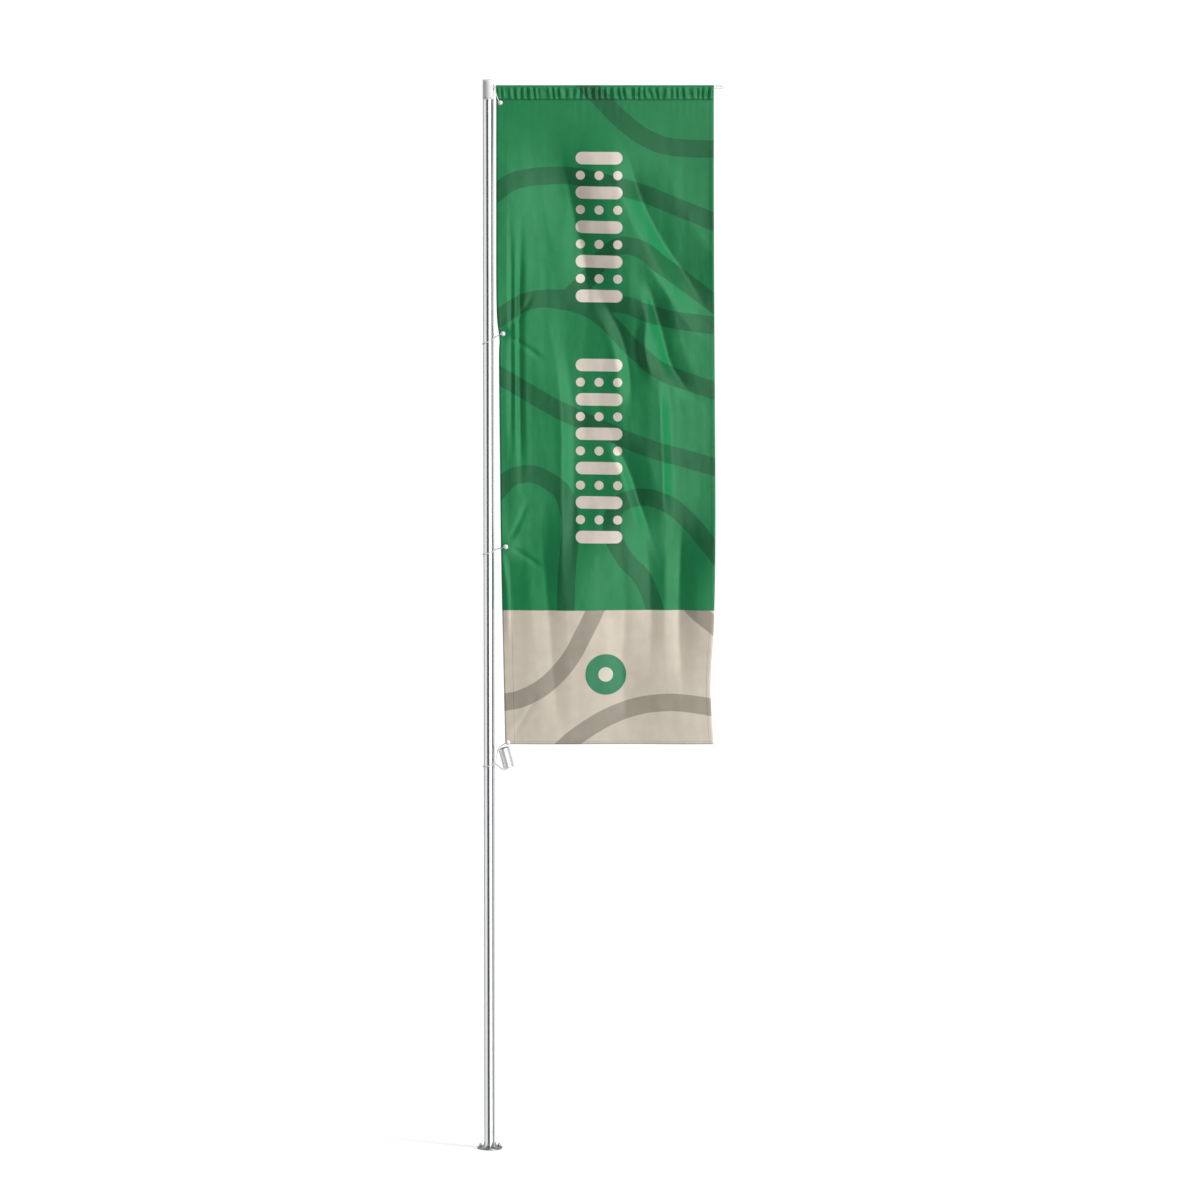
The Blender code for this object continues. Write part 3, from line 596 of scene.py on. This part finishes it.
# The print's waves: the middle line of each, and the width that they share. Each cloth point
# keeps its distance from the nearest one, so the dye's edge stays crisp between grid points.
wave_half_width = 0.041
green_waves = [
    [(0.44, 4.99), (0.52, 4.91), (0.62, 4.81), (0.73, 4.73), (0.85, 4.69), (1.06, 4.68)],
    [(0.02, 4.47), (0.12, 4.535), (0.26, 4.556), (0.43, 4.55)]
    + [(0.68, 4.486), (0.875, 4.41), (1.06, 4.335)],
    [(0.36, 3.985), (0.46, 4.08), (0.53, 4.18), (0.61, 4.235)]
    + [(0.71, 4.215), (0.79, 4.15), (0.88, 4.085), (1.06, 3.95)],
    [(0.02, 3.88), (0.15, 3.965), (0.26, 3.99), (0.40, 3.98)]
    + [(0.63, 3.96), (0.71, 3.93), (0.83, 3.895), (1.06, 3.86)],
    [(0.26, 3.99), (0.40, 3.965), (0.50, 3.92), (0.58, 3.85)]
    + [(0.67, 3.755), (0.80, 3.65), (0.94, 3.595), (1.06, 3.555)],
    [(0.04, 3.64), (0.19, 3.55), (0.34, 3.465), (0.495, 3.395)]
    + [(0.66, 3.325), (0.82, 3.27), (1.06, 3.20)],
    [(0.03, 3.08), (0.10, 3.155), (0.19, 3.175), (0.27, 3.145), (0.345, 3.08)]
    + [(0.375, 2.96), (0.372, 2.84), (0.36, 2.70), (0.355, 2.48)],
    [(0.79, 2.48), (0.72, 2.67), (0.635, 2.77), (0.58, 2.87), (0.57, 2.96)]
    + [(0.61, 3.04), (0.73, 3.065), (0.84, 3.025), (0.94, 2.935), (1.07, 2.78)],
]
beige_waves = [
    [(0.52, 2.60), (0.48, 2.51), (0.435, 2.42), (0.385, 2.325)]
    + [(0.32, 2.24), (0.24, 2.17), (0.14, 2.12), (0.03, 2.10)],
    [(0.30, 1.85), (0.38, 1.925), (0.47, 1.99), (0.57, 2.045)]
    + [(0.69, 2.087), (0.82, 2.105), (0.94, 2.098), (1.07, 2.075)],
    [(0.89, 2.62), (0.96, 2.535), (1.04, 2.47), (1.12, 2.40)],
]


def distance_from(lines):
    """How far each cloth point lies from the nearest of some lines."""
    return np.min([nearest(smooth_path(line, 10), x, z)[0] for line in lines], axis=0)


stored = {
    "green_wave": distance_from(green_waves),
    "beige_wave": distance_from(beige_waves),
    "from_near_edge": x - near_x,
    "from_far_edge": far_x - x,
}
cloth_map = shape.loops.layers.uv.new("cloth")
shape.verts.index_update()
for face in shape.faces:
    for loop in face.loops:
        i = loop.vert.index
        loop[cloth_map].uv = (x[i], z[i])
for key, values in stored.items():
    layer = shape.verts.layers.float.new(key)
    for v, value in zip(shape.verts, values):
        v[layer] = value
half_hole = 0.0036
for hole_x, hole_z in eyelets:
    hole = Vector((hole_x, hole_z))
    cell = min(shape.faces, key=lambda face: (face.calc_center_median().xz - hole).length)
    middle = cell.calc_center_median()
    for corner in cell.verts:
        corner.co.x = hole_x + math.copysign(half_hole, corner.co.x - middle.x)
        corner.co.z = hole_z + math.copysign(half_hole, corner.co.z - middle.z)
    bmesh.ops.delete(shape, geom=[cell], context="FACES")

printed, tree, shader = finish_of(
    "dye printed woven polyester",
    {"Roughness": 0.37, "Specular IOR Level": 0.28, "Sheen Weight": 0.05, "Sheen Roughness": 0.4},
)
# The dye gives flat, crisp colours. The cloth gives a soft sheen, a plain weave, drawn at 2 mm so
# that it shows, and slight clouding where the dye has taken unevenly.
flat = add(tree, "UVMap", {"uv_map": "cloth"}, {})
split = add(tree, "SeparateXYZ", {}, {"Vector": flat.outputs["UV"]})
map_x, map_z = split.outputs["X"], split.outputs["Y"]


def sums(operation, first, second=0.0, third=0.0):
    """One step of the print's arithmetic on places in the cloth, in metres."""
    node = add(tree, "Math", {"operation": operation}, {0: first, 1: second, 2: third})
    return node.outputs["Value"]


def inked(distance, edge, soft=0.0012):
    """One inside edge and nought outside, over the width of the dye's bleed."""
    span = {"From Min": edge - soft, "From Max": edge + soft, "To Min": 1.0, "To Max": 0.0}
    smooth = {"interpolation_type": "SMOOTHSTEP"}
    return add(tree, "MapRange", smooth, {"Value": distance, **span}).outputs["Result"]


def off(place, line):
    """How far a place is from a line, on either side."""
    return sums("ABSOLUTE", sums("SUBTRACT", place, line))


def slant(first, second):
    """The length of a step that goes so far one way and so far the other."""
    squares = [sums("MULTIPLY", leg, leg) for leg in (first, second)]
    return sums("SQRT", sums("ADD", *squares))


def kept(name):
    """A distance that was stored at the cloth's points."""
    return add(tree, "Attribute", {"attribute_name": name}, {}).outputs["Fac"]


def dyed(under, over, share):
    """Lays one colour of the print over another."""
    node = add(tree, "Mix", {"data_type": "RGBA"}, {"Factor": share, 6: under, 7: over})
    return node.outputs[2]


green_band = inked(kept("green_wave"), wave_half_width)
beige_band = inked(kept("beige_wave"), wave_half_width)
green = dyed(linear("#0E7B46"), linear("#065E34"), green_band)
beige = dyed(linear("#CEC3B3"), linear("#9E9587"), beige_band)

# A column of plain bars with rows of dots between them runs up the green, in two groups.
bar_middle, bar_reach, bar_half, half_pitch, first_bar = 0.510, 0.079, 0.029, 0.08, 2.88
dot_radius, half_dot_pitch, dots_reach = 0.021, 0.043, 0.108
from_middle = off(map_x, bar_middle)
beyond = sums("MAXIMUM", sums("SUBTRACT", from_middle, bar_reach), 0.0)
in_bar = sums("PINGPONG", sums("SUBTRACT", map_z, first_bar), half_pitch)
bar = inked(slant(beyond, in_bar), bar_half)
in_dot = sums("PINGPONG", sums("SUBTRACT", map_z, first_bar + half_pitch), half_pitch)
dot_x = sums("PINGPONG", from_middle, half_dot_pitch)
dot = inked(slant(dot_x, in_dot), dot_radius)
dot = sums("MULTIPLY", dot, inked(from_middle, dots_reach))
shown = 0.0
for low, high in ((2.84, 3.72), (3.96, 4.68)):
    shown = sums("ADD", inked(off(map_z, (low + high) / 2), (high - low) / 2), shown)
motif = sums("MULTIPLY", sums("MAXIMUM", bar, dot), shown)
green = dyed(green, linear("#DED2C6"), motif)

# A plain round mark on the beige, with a dot in it.
mark_x, mark_z, mark_radius, mark_dot = 0.541, 2.236, 0.095, 0.034
from_mark = slant(sums("SUBTRACT", map_x, mark_x), sums("SUBTRACT", map_z, mark_z))
beige = dyed(beige, linear("#2F7F57"), inked(from_mark, mark_radius))
beige = dyed(beige, linear("#D9D2C0"), inked(from_mark, mark_dot))
ink = dyed(green, beige, inked(map_z, colour_line))

# Stitch lines along the side hems, the foot hem and the seam, where the thread pulls the cloth in.
# The relief dips there, and the shade in these creases is painted: the colour is darkened along
# them, most along the seam.
near_hem, far_hem, foot_hem = 0.043, 0.020, 0.014
near_stitch = off(kept("from_near_edge"), near_hem)
far_stitch = off(kept("from_far_edge"), far_hem)
side_stitch = inked(sums("MINIMUM", near_stitch, far_stitch), 0.0012)
foot_stitch = inked(off(map_z, banner_foot + foot_hem), 0.0010)
seam = inked(off(map_z, seam_height + 0.0005), 0.0016)
stitch = sums("MAXIMUM", side_stitch, foot_stitch)
stitch = sums("MAXIMUM", stitch, sums("MULTIPLY", seam, 1.8))
clouds = mottle(tree, 16.0, 5.0, flat.outputs["UV"])
span = {"From Min": 0.25, "From Max": 0.75, "To Min": 0.94, "To Max": 1.06}
cloud = add(tree, "MapRange", {}, {"Value": clouds, **span})
# Painted shade: the cloth's colour is darkened along the stitch lines and the seam, for the shade
# in their creases.
stitch_crease_shade = sums("SUBTRACT", 1.0, sums("MULTIPLY", stitch, 0.28))
shade = sums("MULTIPLY", cloud.outputs["Result"], stitch_crease_shade)
ink = add(tree, "VectorMath", {"operation": "SCALE"}, {0: ink, "Scale": shade}).outputs["Vector"]
tree.links.new(ink, shader.inputs["Base Color"])
threads = {"Vector": flat.outputs["UV"], "Scale": 157.0, "Distortion": 0.4}
warp, weft = (add(tree, "TexWave", {"bands_direction": way}, threads) for way in "XY")
weave = sums("ADD", warp.outputs["Fac"], weft.outputs["Fac"])
sewn = sums("SUBTRACT", weave, sums("MULTIPLY", stitch, 3.0))
set_relief(tree, shader, sewn, 0.18, 0.0006)

banner = make_piece(shape, "banner", printed, "head", ["banner_cloth"], 180)


def thicken(sheet):
    """Gives a sheet the thickness of the cloth, evenly to both sides."""
    cloth = sheet.modifiers.new("cloth thickness", "SOLIDIFY")
    cloth.thickness, cloth.offset = 0.0005, 0.0


thicken(banner)

# Sleeve. The top of the cloth is folded over the arm and sewn down below it as a tunnel, a little
# longer than its place on the arm, so that it sits in small upright gathers.
sleeve_near, sleeve_far = 0.0355, 1.0380
tunnel_top, over_the_arm, sewn_from = 0.0086, 0.24, 0.925
tunnel_foot, seam_gap = seam_height - 0.004, 0.0012
pleat_width, pleat_depth, crinkle_depth = 0.030, 0.0050, 0.0012
sleeve_columns, sleeve_rows = 520, 30
shape = bmesh.new()
bmesh.ops.create_grid(shape, x_segments=sleeve_columns, y_segments=sleeve_rows, size=0.5)
sleeve_map = shape.loops.layers.uv.new("cloth")
green_layer = shape.verts.layers.float.new("green_wave")
near_layer = shape.verts.layers.float.new("from_near_edge")
far_layer = shape.verts.layers.float.new("from_far_edge")
for v in shape.verts:
    along_x = sleeve_near + (v.co.x + 0.5) * (sleeve_far - sleeve_near)
    front, reach = (-1 if v.co.y < 0 else 1), abs(2 * v.co.y)
    if reach < over_the_arm:
        lean = reach / over_the_arm * math.pi / 2
        y = front * tunnel_top * math.sin(lean)
        up = arm_height + tunnel_top * math.cos(lean)
        loose = 0.0
    else:
        fall = (reach - over_the_arm) / (1 - over_the_arm)
        up = arm_height - fall * (arm_height - tunnel_foot)
        y = front * (tunnel_top * (1 - fall) ** 1.3 + seam_gap)
        loose = math.sin(math.pi * min(1, fall * 1.08)) ** 0.7 if fall < sewn_from else 0.0
    # Gathers about 20 to 40 mm apart, uneven, leaning a little, and different at the back.
    seat = along_x + 0.10 * (up - arm_height) + (0.4 if front > 0 else 0.0)
    wander = noise.noise(Vector((seat / 0.05, 1.7, up / 0.09)))
    pleat = math.sin(2 * math.pi * seat / pleat_width + 3.6 * wander)
    strong = 0.55 + 0.75 * noise.noise(Vector((seat / 0.07, 8.2, 0.0)))
    fine = noise.noise(Vector((seat / 0.008, 3.3, up / 0.03)))
    y += front * loose * (pleat_depth * strong * (pleat + 0.25) + crinkle_depth * fine)
    v.co = (along_x, y, up)
    v[near_layer], v[far_layer] = v.co.x - sleeve_near, sleeve_far - v.co.x
for face in shape.faces:
    for loop in face.loops:
        loop[sleeve_map].uv = (loop.vert.co.x, loop.vert.co.z)
sleeve_x, sleeve_z = (np.array([v.co[axis] for v in shape.verts]) for axis in (0, 2))
gaps = nearest(smooth_path(green_waves[0], 10), sleeve_x, sleeve_z)[0]
for v, gap in zip(shape.verts, gaps):
    v[green_layer] = gap
sleeve_cloth = printed.copy()
sleeve_cloth.name = "dye printed woven polyester, sewn sleeve"
sleeve = make_piece(
    shape, "sleeve", sleeve_cloth, "head", ["banner_sleeve"], 180
)
thicken(sleeve)


# Eyelets. Two-part nickel-plated brass rings, pressed together through the cloth's edge.
nickel, tree, shader = finish_of(
    "nickel plated brass",
    {"Metallic": 1.0, "Base Color": linear("#CFCBC2"), "Roughness": 0.25},
)
# Plating is bright, with light scuffs about 3 mm apart from handling.
set_shine(tree, shader, mottle(tree, 330.0, 6.0), 0.16, 0.42, 0.35, 0.7)

eyelet_bore, eyelet_rim = 0.0042, 0.0085
ring_middle, ring_half = (eyelet_bore + eyelet_rim) / 2, (eyelet_rim - eyelet_bore) / 2
ring_seat, ring_swell = 0.0006, 0.0009
ring = arc(ring_middle, ring_seat, -ring_half, ring_swell, 0, 180, 6)
ring += arc(ring_middle, -ring_seat, ring_half, -ring_swell, 0, 180, 6)
for number, (hole_x, hole_z) in enumerate(eyelets, 1):
    shape = turned(ring, 48, Matrix.Translation((hole_x, 0, hole_z)) @ to_the_back)
    node = f"eyelet_{number}"
    make_piece(shape, f"eyelet_ring_{number}", nickel, "head", [node], 60)

# Toggle balls. White moulded nylon balls with a blind hole at the back, where both ends of the
# elastic are knotted in. Each lies on the cloth in front of its eyelet and stops the elastic.
ball_white = white_moulding.copy()
ball_white.name = "white moulded nylon, polished ball"
ball_white.node_tree.nodes["Principled BSDF"].inputs["Roughness"].default_value = 0.22
ball_radius, ball_front, ball_hole, ball_hole_floor = 0.0115, -0.0175, 0.0027, 0.004
hole_edge = 90 - math.degrees(math.asin(ball_hole / ball_radius))
profile = [(0.0, -ball_radius)] + arc(0, 0, ball_radius, ball_radius, -90, hole_edge, 24)[1:]
profile += [(ball_hole - 0.0002, 0.0100), (ball_hole - 0.0002, ball_hole_floor)]
profile += [(0.0, ball_hole_floor)]
for number, (hole_x, hole_z) in enumerate(eyelets, 1):
    shape = turned(profile, 64, Matrix.Translation((hole_x, ball_front, hole_z)) @ to_the_back)
    node = f"tie_ball_{number}"
    make_piece(shape, f"toggle_ball_{number}", ball_white, "head", [node], 50)

# Elastic ties. Rubber cord, 4 mm thick, with a braided white polyester cover. Each goes from its
# ball through the eyelet, round the mast and back to the ball; the top one goes over the arm.
elastic, tree, shader = finish_of(
    "braided elastic cord",
    {"Base Color": linear("#EDEDEB"), "Roughness": 0.7, "Sheen Weight": 0.2},
)
# Braid strands 1.2 mm wide cross at an angle: small soft lozenges, with painted shade in grey
# between them, where the relief dips.
flat = add(tree, "UVMap", {"uv_map": "UVMap"}, {})
mirrored = add(tree, "Mapping", {}, {"Vector": flat.outputs["UV"], "Scale": (1.0, -1.0, 1.0)})
one_way, other_way = (
    add(tree, "TexWave", {"bands_direction": "DIAGONAL"}, {"Vector": place, "Scale": 260.0})
    for place in (flat.outputs["UV"], mirrored.outputs["Vector"])
)
braid_relief_and_shade = sums("MAXIMUM", one_way.outputs["Fac"], other_way.outputs["Fac"])
# Painted shade: the colour goes grey in the hollows between the strands.
set_tone(tree, shader, braid_relief_and_shade, "#BDBDBC", "#F4F4F2")
set_relief(tree, shader, braid_relief_and_shade, 0.4, 0.0004)

cord_radius, loop_radius = 0.002, 0.0292


def cord_piece(name, path, body, node):
    """A round cord on a path of points, with its pattern laid along it in metres."""
    curve = bpy.data.curves.new(name, "CURVE")
    curve.dimensions = "3D"
    curve.bevel_depth, curve.bevel_resolution, curve.use_fill_caps = cord_radius, 5, True
    spline = curve.splines.new("POLY")
    spline.points.add(len(path) - 1)
    for spot, point in zip(spline.points, path):
        spot.co = (*point, 1)
    line = bpy.data.objects.new(name + "_line", curve)
    bpy.context.collection.objects.link(line)
    ready = line.evaluated_get(bpy.context.evaluated_depsgraph_get())
    mesh = bpy.data.meshes.new_from_object(ready)
    bpy.data.objects.remove(line)
    length = sum(math.dist(a, b) for a, b in zip(path, path[1:]))
    shape = bmesh.new()
    shape.from_mesh(mesh)
    bpy.data.meshes.remove(mesh)
    chart = shape.loops.layers.uv.active or shape.loops.layers.uv.new("UVMap")
    for face in shape.faces:
        for loop in face.loops:
            along_cord, round_cord = loop[chart].uv
            loop[chart].uv = (along_cord * length, round_cord * 2 * math.pi * cord_radius)
    return make_piece(shape, name, elastic, body, [node], 60), length


def through_eyelet(hole_x, hole_z):
    """From the ball to behind the cloth."""
    return [
        (hole_x, -0.0120, hole_z),
        (hole_x, -0.0020, hole_z),
        (hole_x - 0.0010, 0.0055, hole_z - 0.0005),
    ]


def round_the_mast(low, high, reach):
    """From behind, round the side away from the banner, to the front, rising towards it."""
    slope = (high - low) / (reach + loop_radius)
    ring = arc(0, 0, loop_radius, loop_radius, 72, 288, 6)
    return [(x, y, low + slope * (x + loop_radius)) for x, y in ring]


def elastic_tie(name, route, node):
    """A tie whose ends are both held in one ball."""
    route = smooth_path(route, 8)
    tie, length = cord_piece(name, route, "head", node)


lane, over_reach = 0.0314, 0.0096
hole_x, hole_z = eyelets[0]
route = (
    through_eyelet(hole_x, hole_z)
    + [(hole_x - 0.008, 0.0110, hole_z + 0.020), (lane + 0.004, 0.0125, hole_z + 0.046)]
    + [(lane, y, up) for y, up in arc(0, arm_height, over_reach, over_reach, 0, 180, 4)]
    + [
        (lane + 0.004, -0.0125, hole_z + 0.044),
        (hole_x - 0.011, -0.0110, hole_z + 0.018),
        (hole_x - 0.0055, -0.0055, hole_z + 0.005),
        (hole_x - 0.0048, -0.0040, hole_z + 0.001),
    ]
)
elastic_tie("arm_tie", route, "top_tie")

for number, drop in ((2, 0.050), (3, 0.038)):
    hole_x, hole_z = eyelets[number - 1]
    low = hole_z - drop
    slope = drop / (hole_x + loop_radius)
    side_x = 0.030
    side_height = low + slope * (side_x + loop_radius)
    route = (
        through_eyelet(hole_x, hole_z)
        + [(hole_x - 0.014, 0.0150, hole_z - 0.014 * slope - 0.002), (side_x, 0.0245, side_height)]
        + round_the_mast(low, hole_z, hole_x)
        + [
            (side_x, -0.0240, side_height),
            (hole_x - 0.017, -0.0130, hole_z - 0.007),
            (hole_x - 0.008, -0.0060, hole_z - 0.002),
            (hole_x - 0.0048, -0.0040, hole_z),
        ]
    )
    node = f"side_tie_{number - 1}"
    elastic_tie(f"mast_tie_{number - 1}", route, node)

# The weight's elastic. One long cord goes from the lowest ball down through the weight's bore, out
# under its rim, round the mast and back up. Each part starts where the one before it ends.
hole_x, hole_z = eyelets[3]
in_bore, behind_mast = (0.0800, 0, 1.8465), (0.0280, 0.0235, 1.8125)
upper = through_eyelet(hole_x, hole_z) + [(hole_x - 0.0020, 0.0068, hole_z - 0.0085)]
upper += [(hole_x - 0.0052, 0.0035, hole_z - 0.0145), (0.0786, 0, 1.9029)]
upper += [(0.0765, 0, 1.8880), (0.0775, 0, 1.8700), in_bore]
piece, _ = cord_piece("weight_cord_upper", smooth_path(upper, 8), None, "weight_tie_top")
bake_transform(piece)
lower = [in_bore, (0.0850, 0, 1.8220), (0.0875, 0, 1.8040), (0.0850, -0.0005, 1.7955)]
lower += [(0.0780, -0.0010, 1.7915), (0.0700, -0.0010, 1.7908), (0.0640, -0.0010, 1.7921)]
lower += [(0.0560, 0.0030, 1.7940), (0.0440, 0.0120, 1.8030), behind_mast]
piece, _ = cord_piece("weight_cord_lower", smooth_path(lower, 8), None, "weight_tie_bore")
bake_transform(piece)
back_up = [behind_mast] + round_the_mast(1.8035, 1.8200, 0.033)
back_up += [(0.0290, -0.0235, 1.8250), (0.0350, -0.0160, 1.8510), (0.0390, -0.0090, 1.8740)]
back_up += [(0.0450, -0.0050, 1.8925), (0.0580, -0.0045, 1.9030), (0.0720, -0.0045, 1.9125)]
back_up += [(hole_x - 0.0048, -0.0042, hole_z - 0.0005)]
cord_piece("weight_cord_loop", smooth_path(back_up, 8), "head", "weight_tie_loop")

# Weight. A thick tube of steel, turned and brushed bright, which hangs on the elastic and keeps the
# banner's near corner down. Grey polyethylene liners at both mouths keep its edge off the cord.
turned_steel, tree, shader = finish_of(
    "turned bright steel",
    {"Metallic": 1.0, "Base Color": linear("#DDDDDE"), "Roughness": 0.4, "Anisotropic": 0.3},
)
weight_lean = math.radians(14.5)
weight_middle = Vector((0.0797, 0, 1.8465))
# Turning lines 0.6 mm apart go round the weight, so highlights smear along it.
place = add(tree, "TexCoord", {}, {})
turn = {"Vector": place.outputs["Object"], "Rotation": (0, weight_lean, 0)}
straight = add(tree, "Mapping", {}, turn).outputs["Vector"]
wave = {"Vector": straight, "Scale": 520.0, "Distortion": 0.8, "Detail": 2.0}
cuts = add(tree, "TexWave", {"bands_direction": "Z"}, wave)
set_shine(tree, shader, mottle(tree, 80.0, 5.0, straight), 0.36, 0.56)
set_relief(tree, shader, cuts.outputs["Fac"], 0.12, 0.0002)

weight_radius, weight_bore, weight_length = 0.0255, 0.0170, 0.0920
hung = Matrix.Translation(weight_middle) @ Matrix.Rotation(-weight_lean, 4, "Y")
outline = tube(weight_bore, weight_radius, -weight_length / 2, weight_length / 2)
shape = turned(outline, 128, hung)
ease_edges(shape, 0.0010, 3)
make_piece(shape, "weight", turned_steel, "weight", ["weight_sleeve"])

liner_grey, tree, shader = finish_of(
    "moulded grey polyethylene",
    {"Base Color": linear("#96989A"), "Roughness": 0.5},
)
# Soft polyethylene, slightly waxy, with scuffs about 5 mm apart.
set_tone(tree, shader, mottle(tree, 200.0, 4.0), "#8A8C8E", "#A2A4A6")
liner_lip, lip_thickness, liner_depth, liner_wall = 0.0205, 0.0015, 0.008, 0.0015
seat, outer = weight_length / 2 + play, weight_bore - play
for name, node, way in (
    ("liner_upper", "weight_bush_top", 0),
    ("liner_lower", "weight_bush_bottom", math.pi),
):
    shape = turned(
        [
            (outer - liner_wall, seat - liner_depth),
            (outer, seat - liner_depth),
            (outer, seat),
            (liner_lip, seat),
            (liner_lip, seat + lip_thickness),
            (outer - liner_wall, seat + lip_thickness),
        ],
        96,
        hung @ Matrix.Rotation(way, 4, "X"),
    )
    ease_edges(shape, 0.0004)
    make_piece(shape, name, liner_grey, "weight", [node])

# Floor and light. A wide plain white floor, an even white surround, a key light from the front
# right that draws the cloth's folds, a soft fill from behind, and a bright card and grey screens
# that are seen only in the metal and in the cloth's sheen.
floor_white = finish_of(
    "floor white",
    {
        "Base Color": (0.45, 0.45, 0.45, 1),
        "Roughness": 0.9,
        "Specular IOR Level": 0.0,
        "Emission Color": (1, 1, 1, 1),
        "Emission Strength": 0.62,
    },
)[0]
shape = bmesh.new()
bmesh.ops.create_grid(shape, x_segments=1, y_segments=1, size=60)
floor = new_object(shape, "floor", floor_white)
floor.location.z = -0.0005
floor.visible_glossy = floor.visible_diffuse = False


def screen(name, first_angle, last_angle, glow):
    """A tall curved screen round the mast, between two angles from the camera's side."""
    material = finish_of(
        name,
        {
            "Base Color": (0, 0, 0, 1),
            "Roughness": 1.0,
            "Specular IOR Level": 0.0,
            "Emission Color": (glow, glow, glow, 1),
            "Emission Strength": 1.0,
        },
    )[0]
    distance, low, high = 4.0, -1.5, 6.5
    shape = bmesh.new()
    start = math.radians(first_angle - 90)
    side = (distance * math.cos(start), distance * math.sin(start))
    ends = [shape.verts.new((*side, low)), shape.verts.new((*side, high))]
    bmesh.ops.spin(
        shape,
        geom=ends + [shape.edges.new(ends)],
        cent=(0, 0, 0),
        axis=(0, 0, 1),
        angle=math.radians(last_angle - first_angle),
        steps=12,
        use_merge=False,
    )
    card = new_object(shape, name, material)
    card.visible_camera = card.visible_diffuse = card.visible_shadow = False
    card.visible_transmission = card.visible_volume_scatter = False


screen("soft_box", 20, 52, 4.0)
screen("screen_1", -44, 0, 0.10)
screen("screen_2", 54, 98, 0.28)
screen("screen_3", -160, -118, 0.20)
screen("screen_4", 150, 178, 0.30)

world = bpy.data.worlds.new("surround")
world.use_nodes = True
bpy.context.scene.world = world
tree = world.node_tree
background = tree.nodes["Background"]
background.inputs["Color"].default_value = (1, 1, 1, 1)
sight = add(tree, "LightPath", {}, {})
seen, thrown = 1.05, 0.40
span = {"Value": sight.outputs["Is Diffuse Ray"], "To Min": seen, "To Max": thrown}
power = add(tree, "MapRange", {}, span)
tree.links.new(power.outputs["Result"], background.inputs["Strength"])

for name, energy, spread, shines in (
    ("key", 3.7, 14, (-1.9, 1.0, -0.75)),
    ("fill from behind", 1.6, 60, (0.5, -1.0, -0.45)),
):
    lamp_data = bpy.data.lights.new(name, "SUN")
    lamp_data.energy, lamp_data.angle = energy, math.radians(spread)
    lamp = bpy.data.objects.new(name, lamp_data)
    lamp.rotation_euler = Vector(shines).to_track_quat("-Z", "Y").to_euler()
    lamp.visible_glossy = False
    bpy.context.collection.objects.link(lamp)

bpy.context.scene.view_settings.view_transform = "Standard"
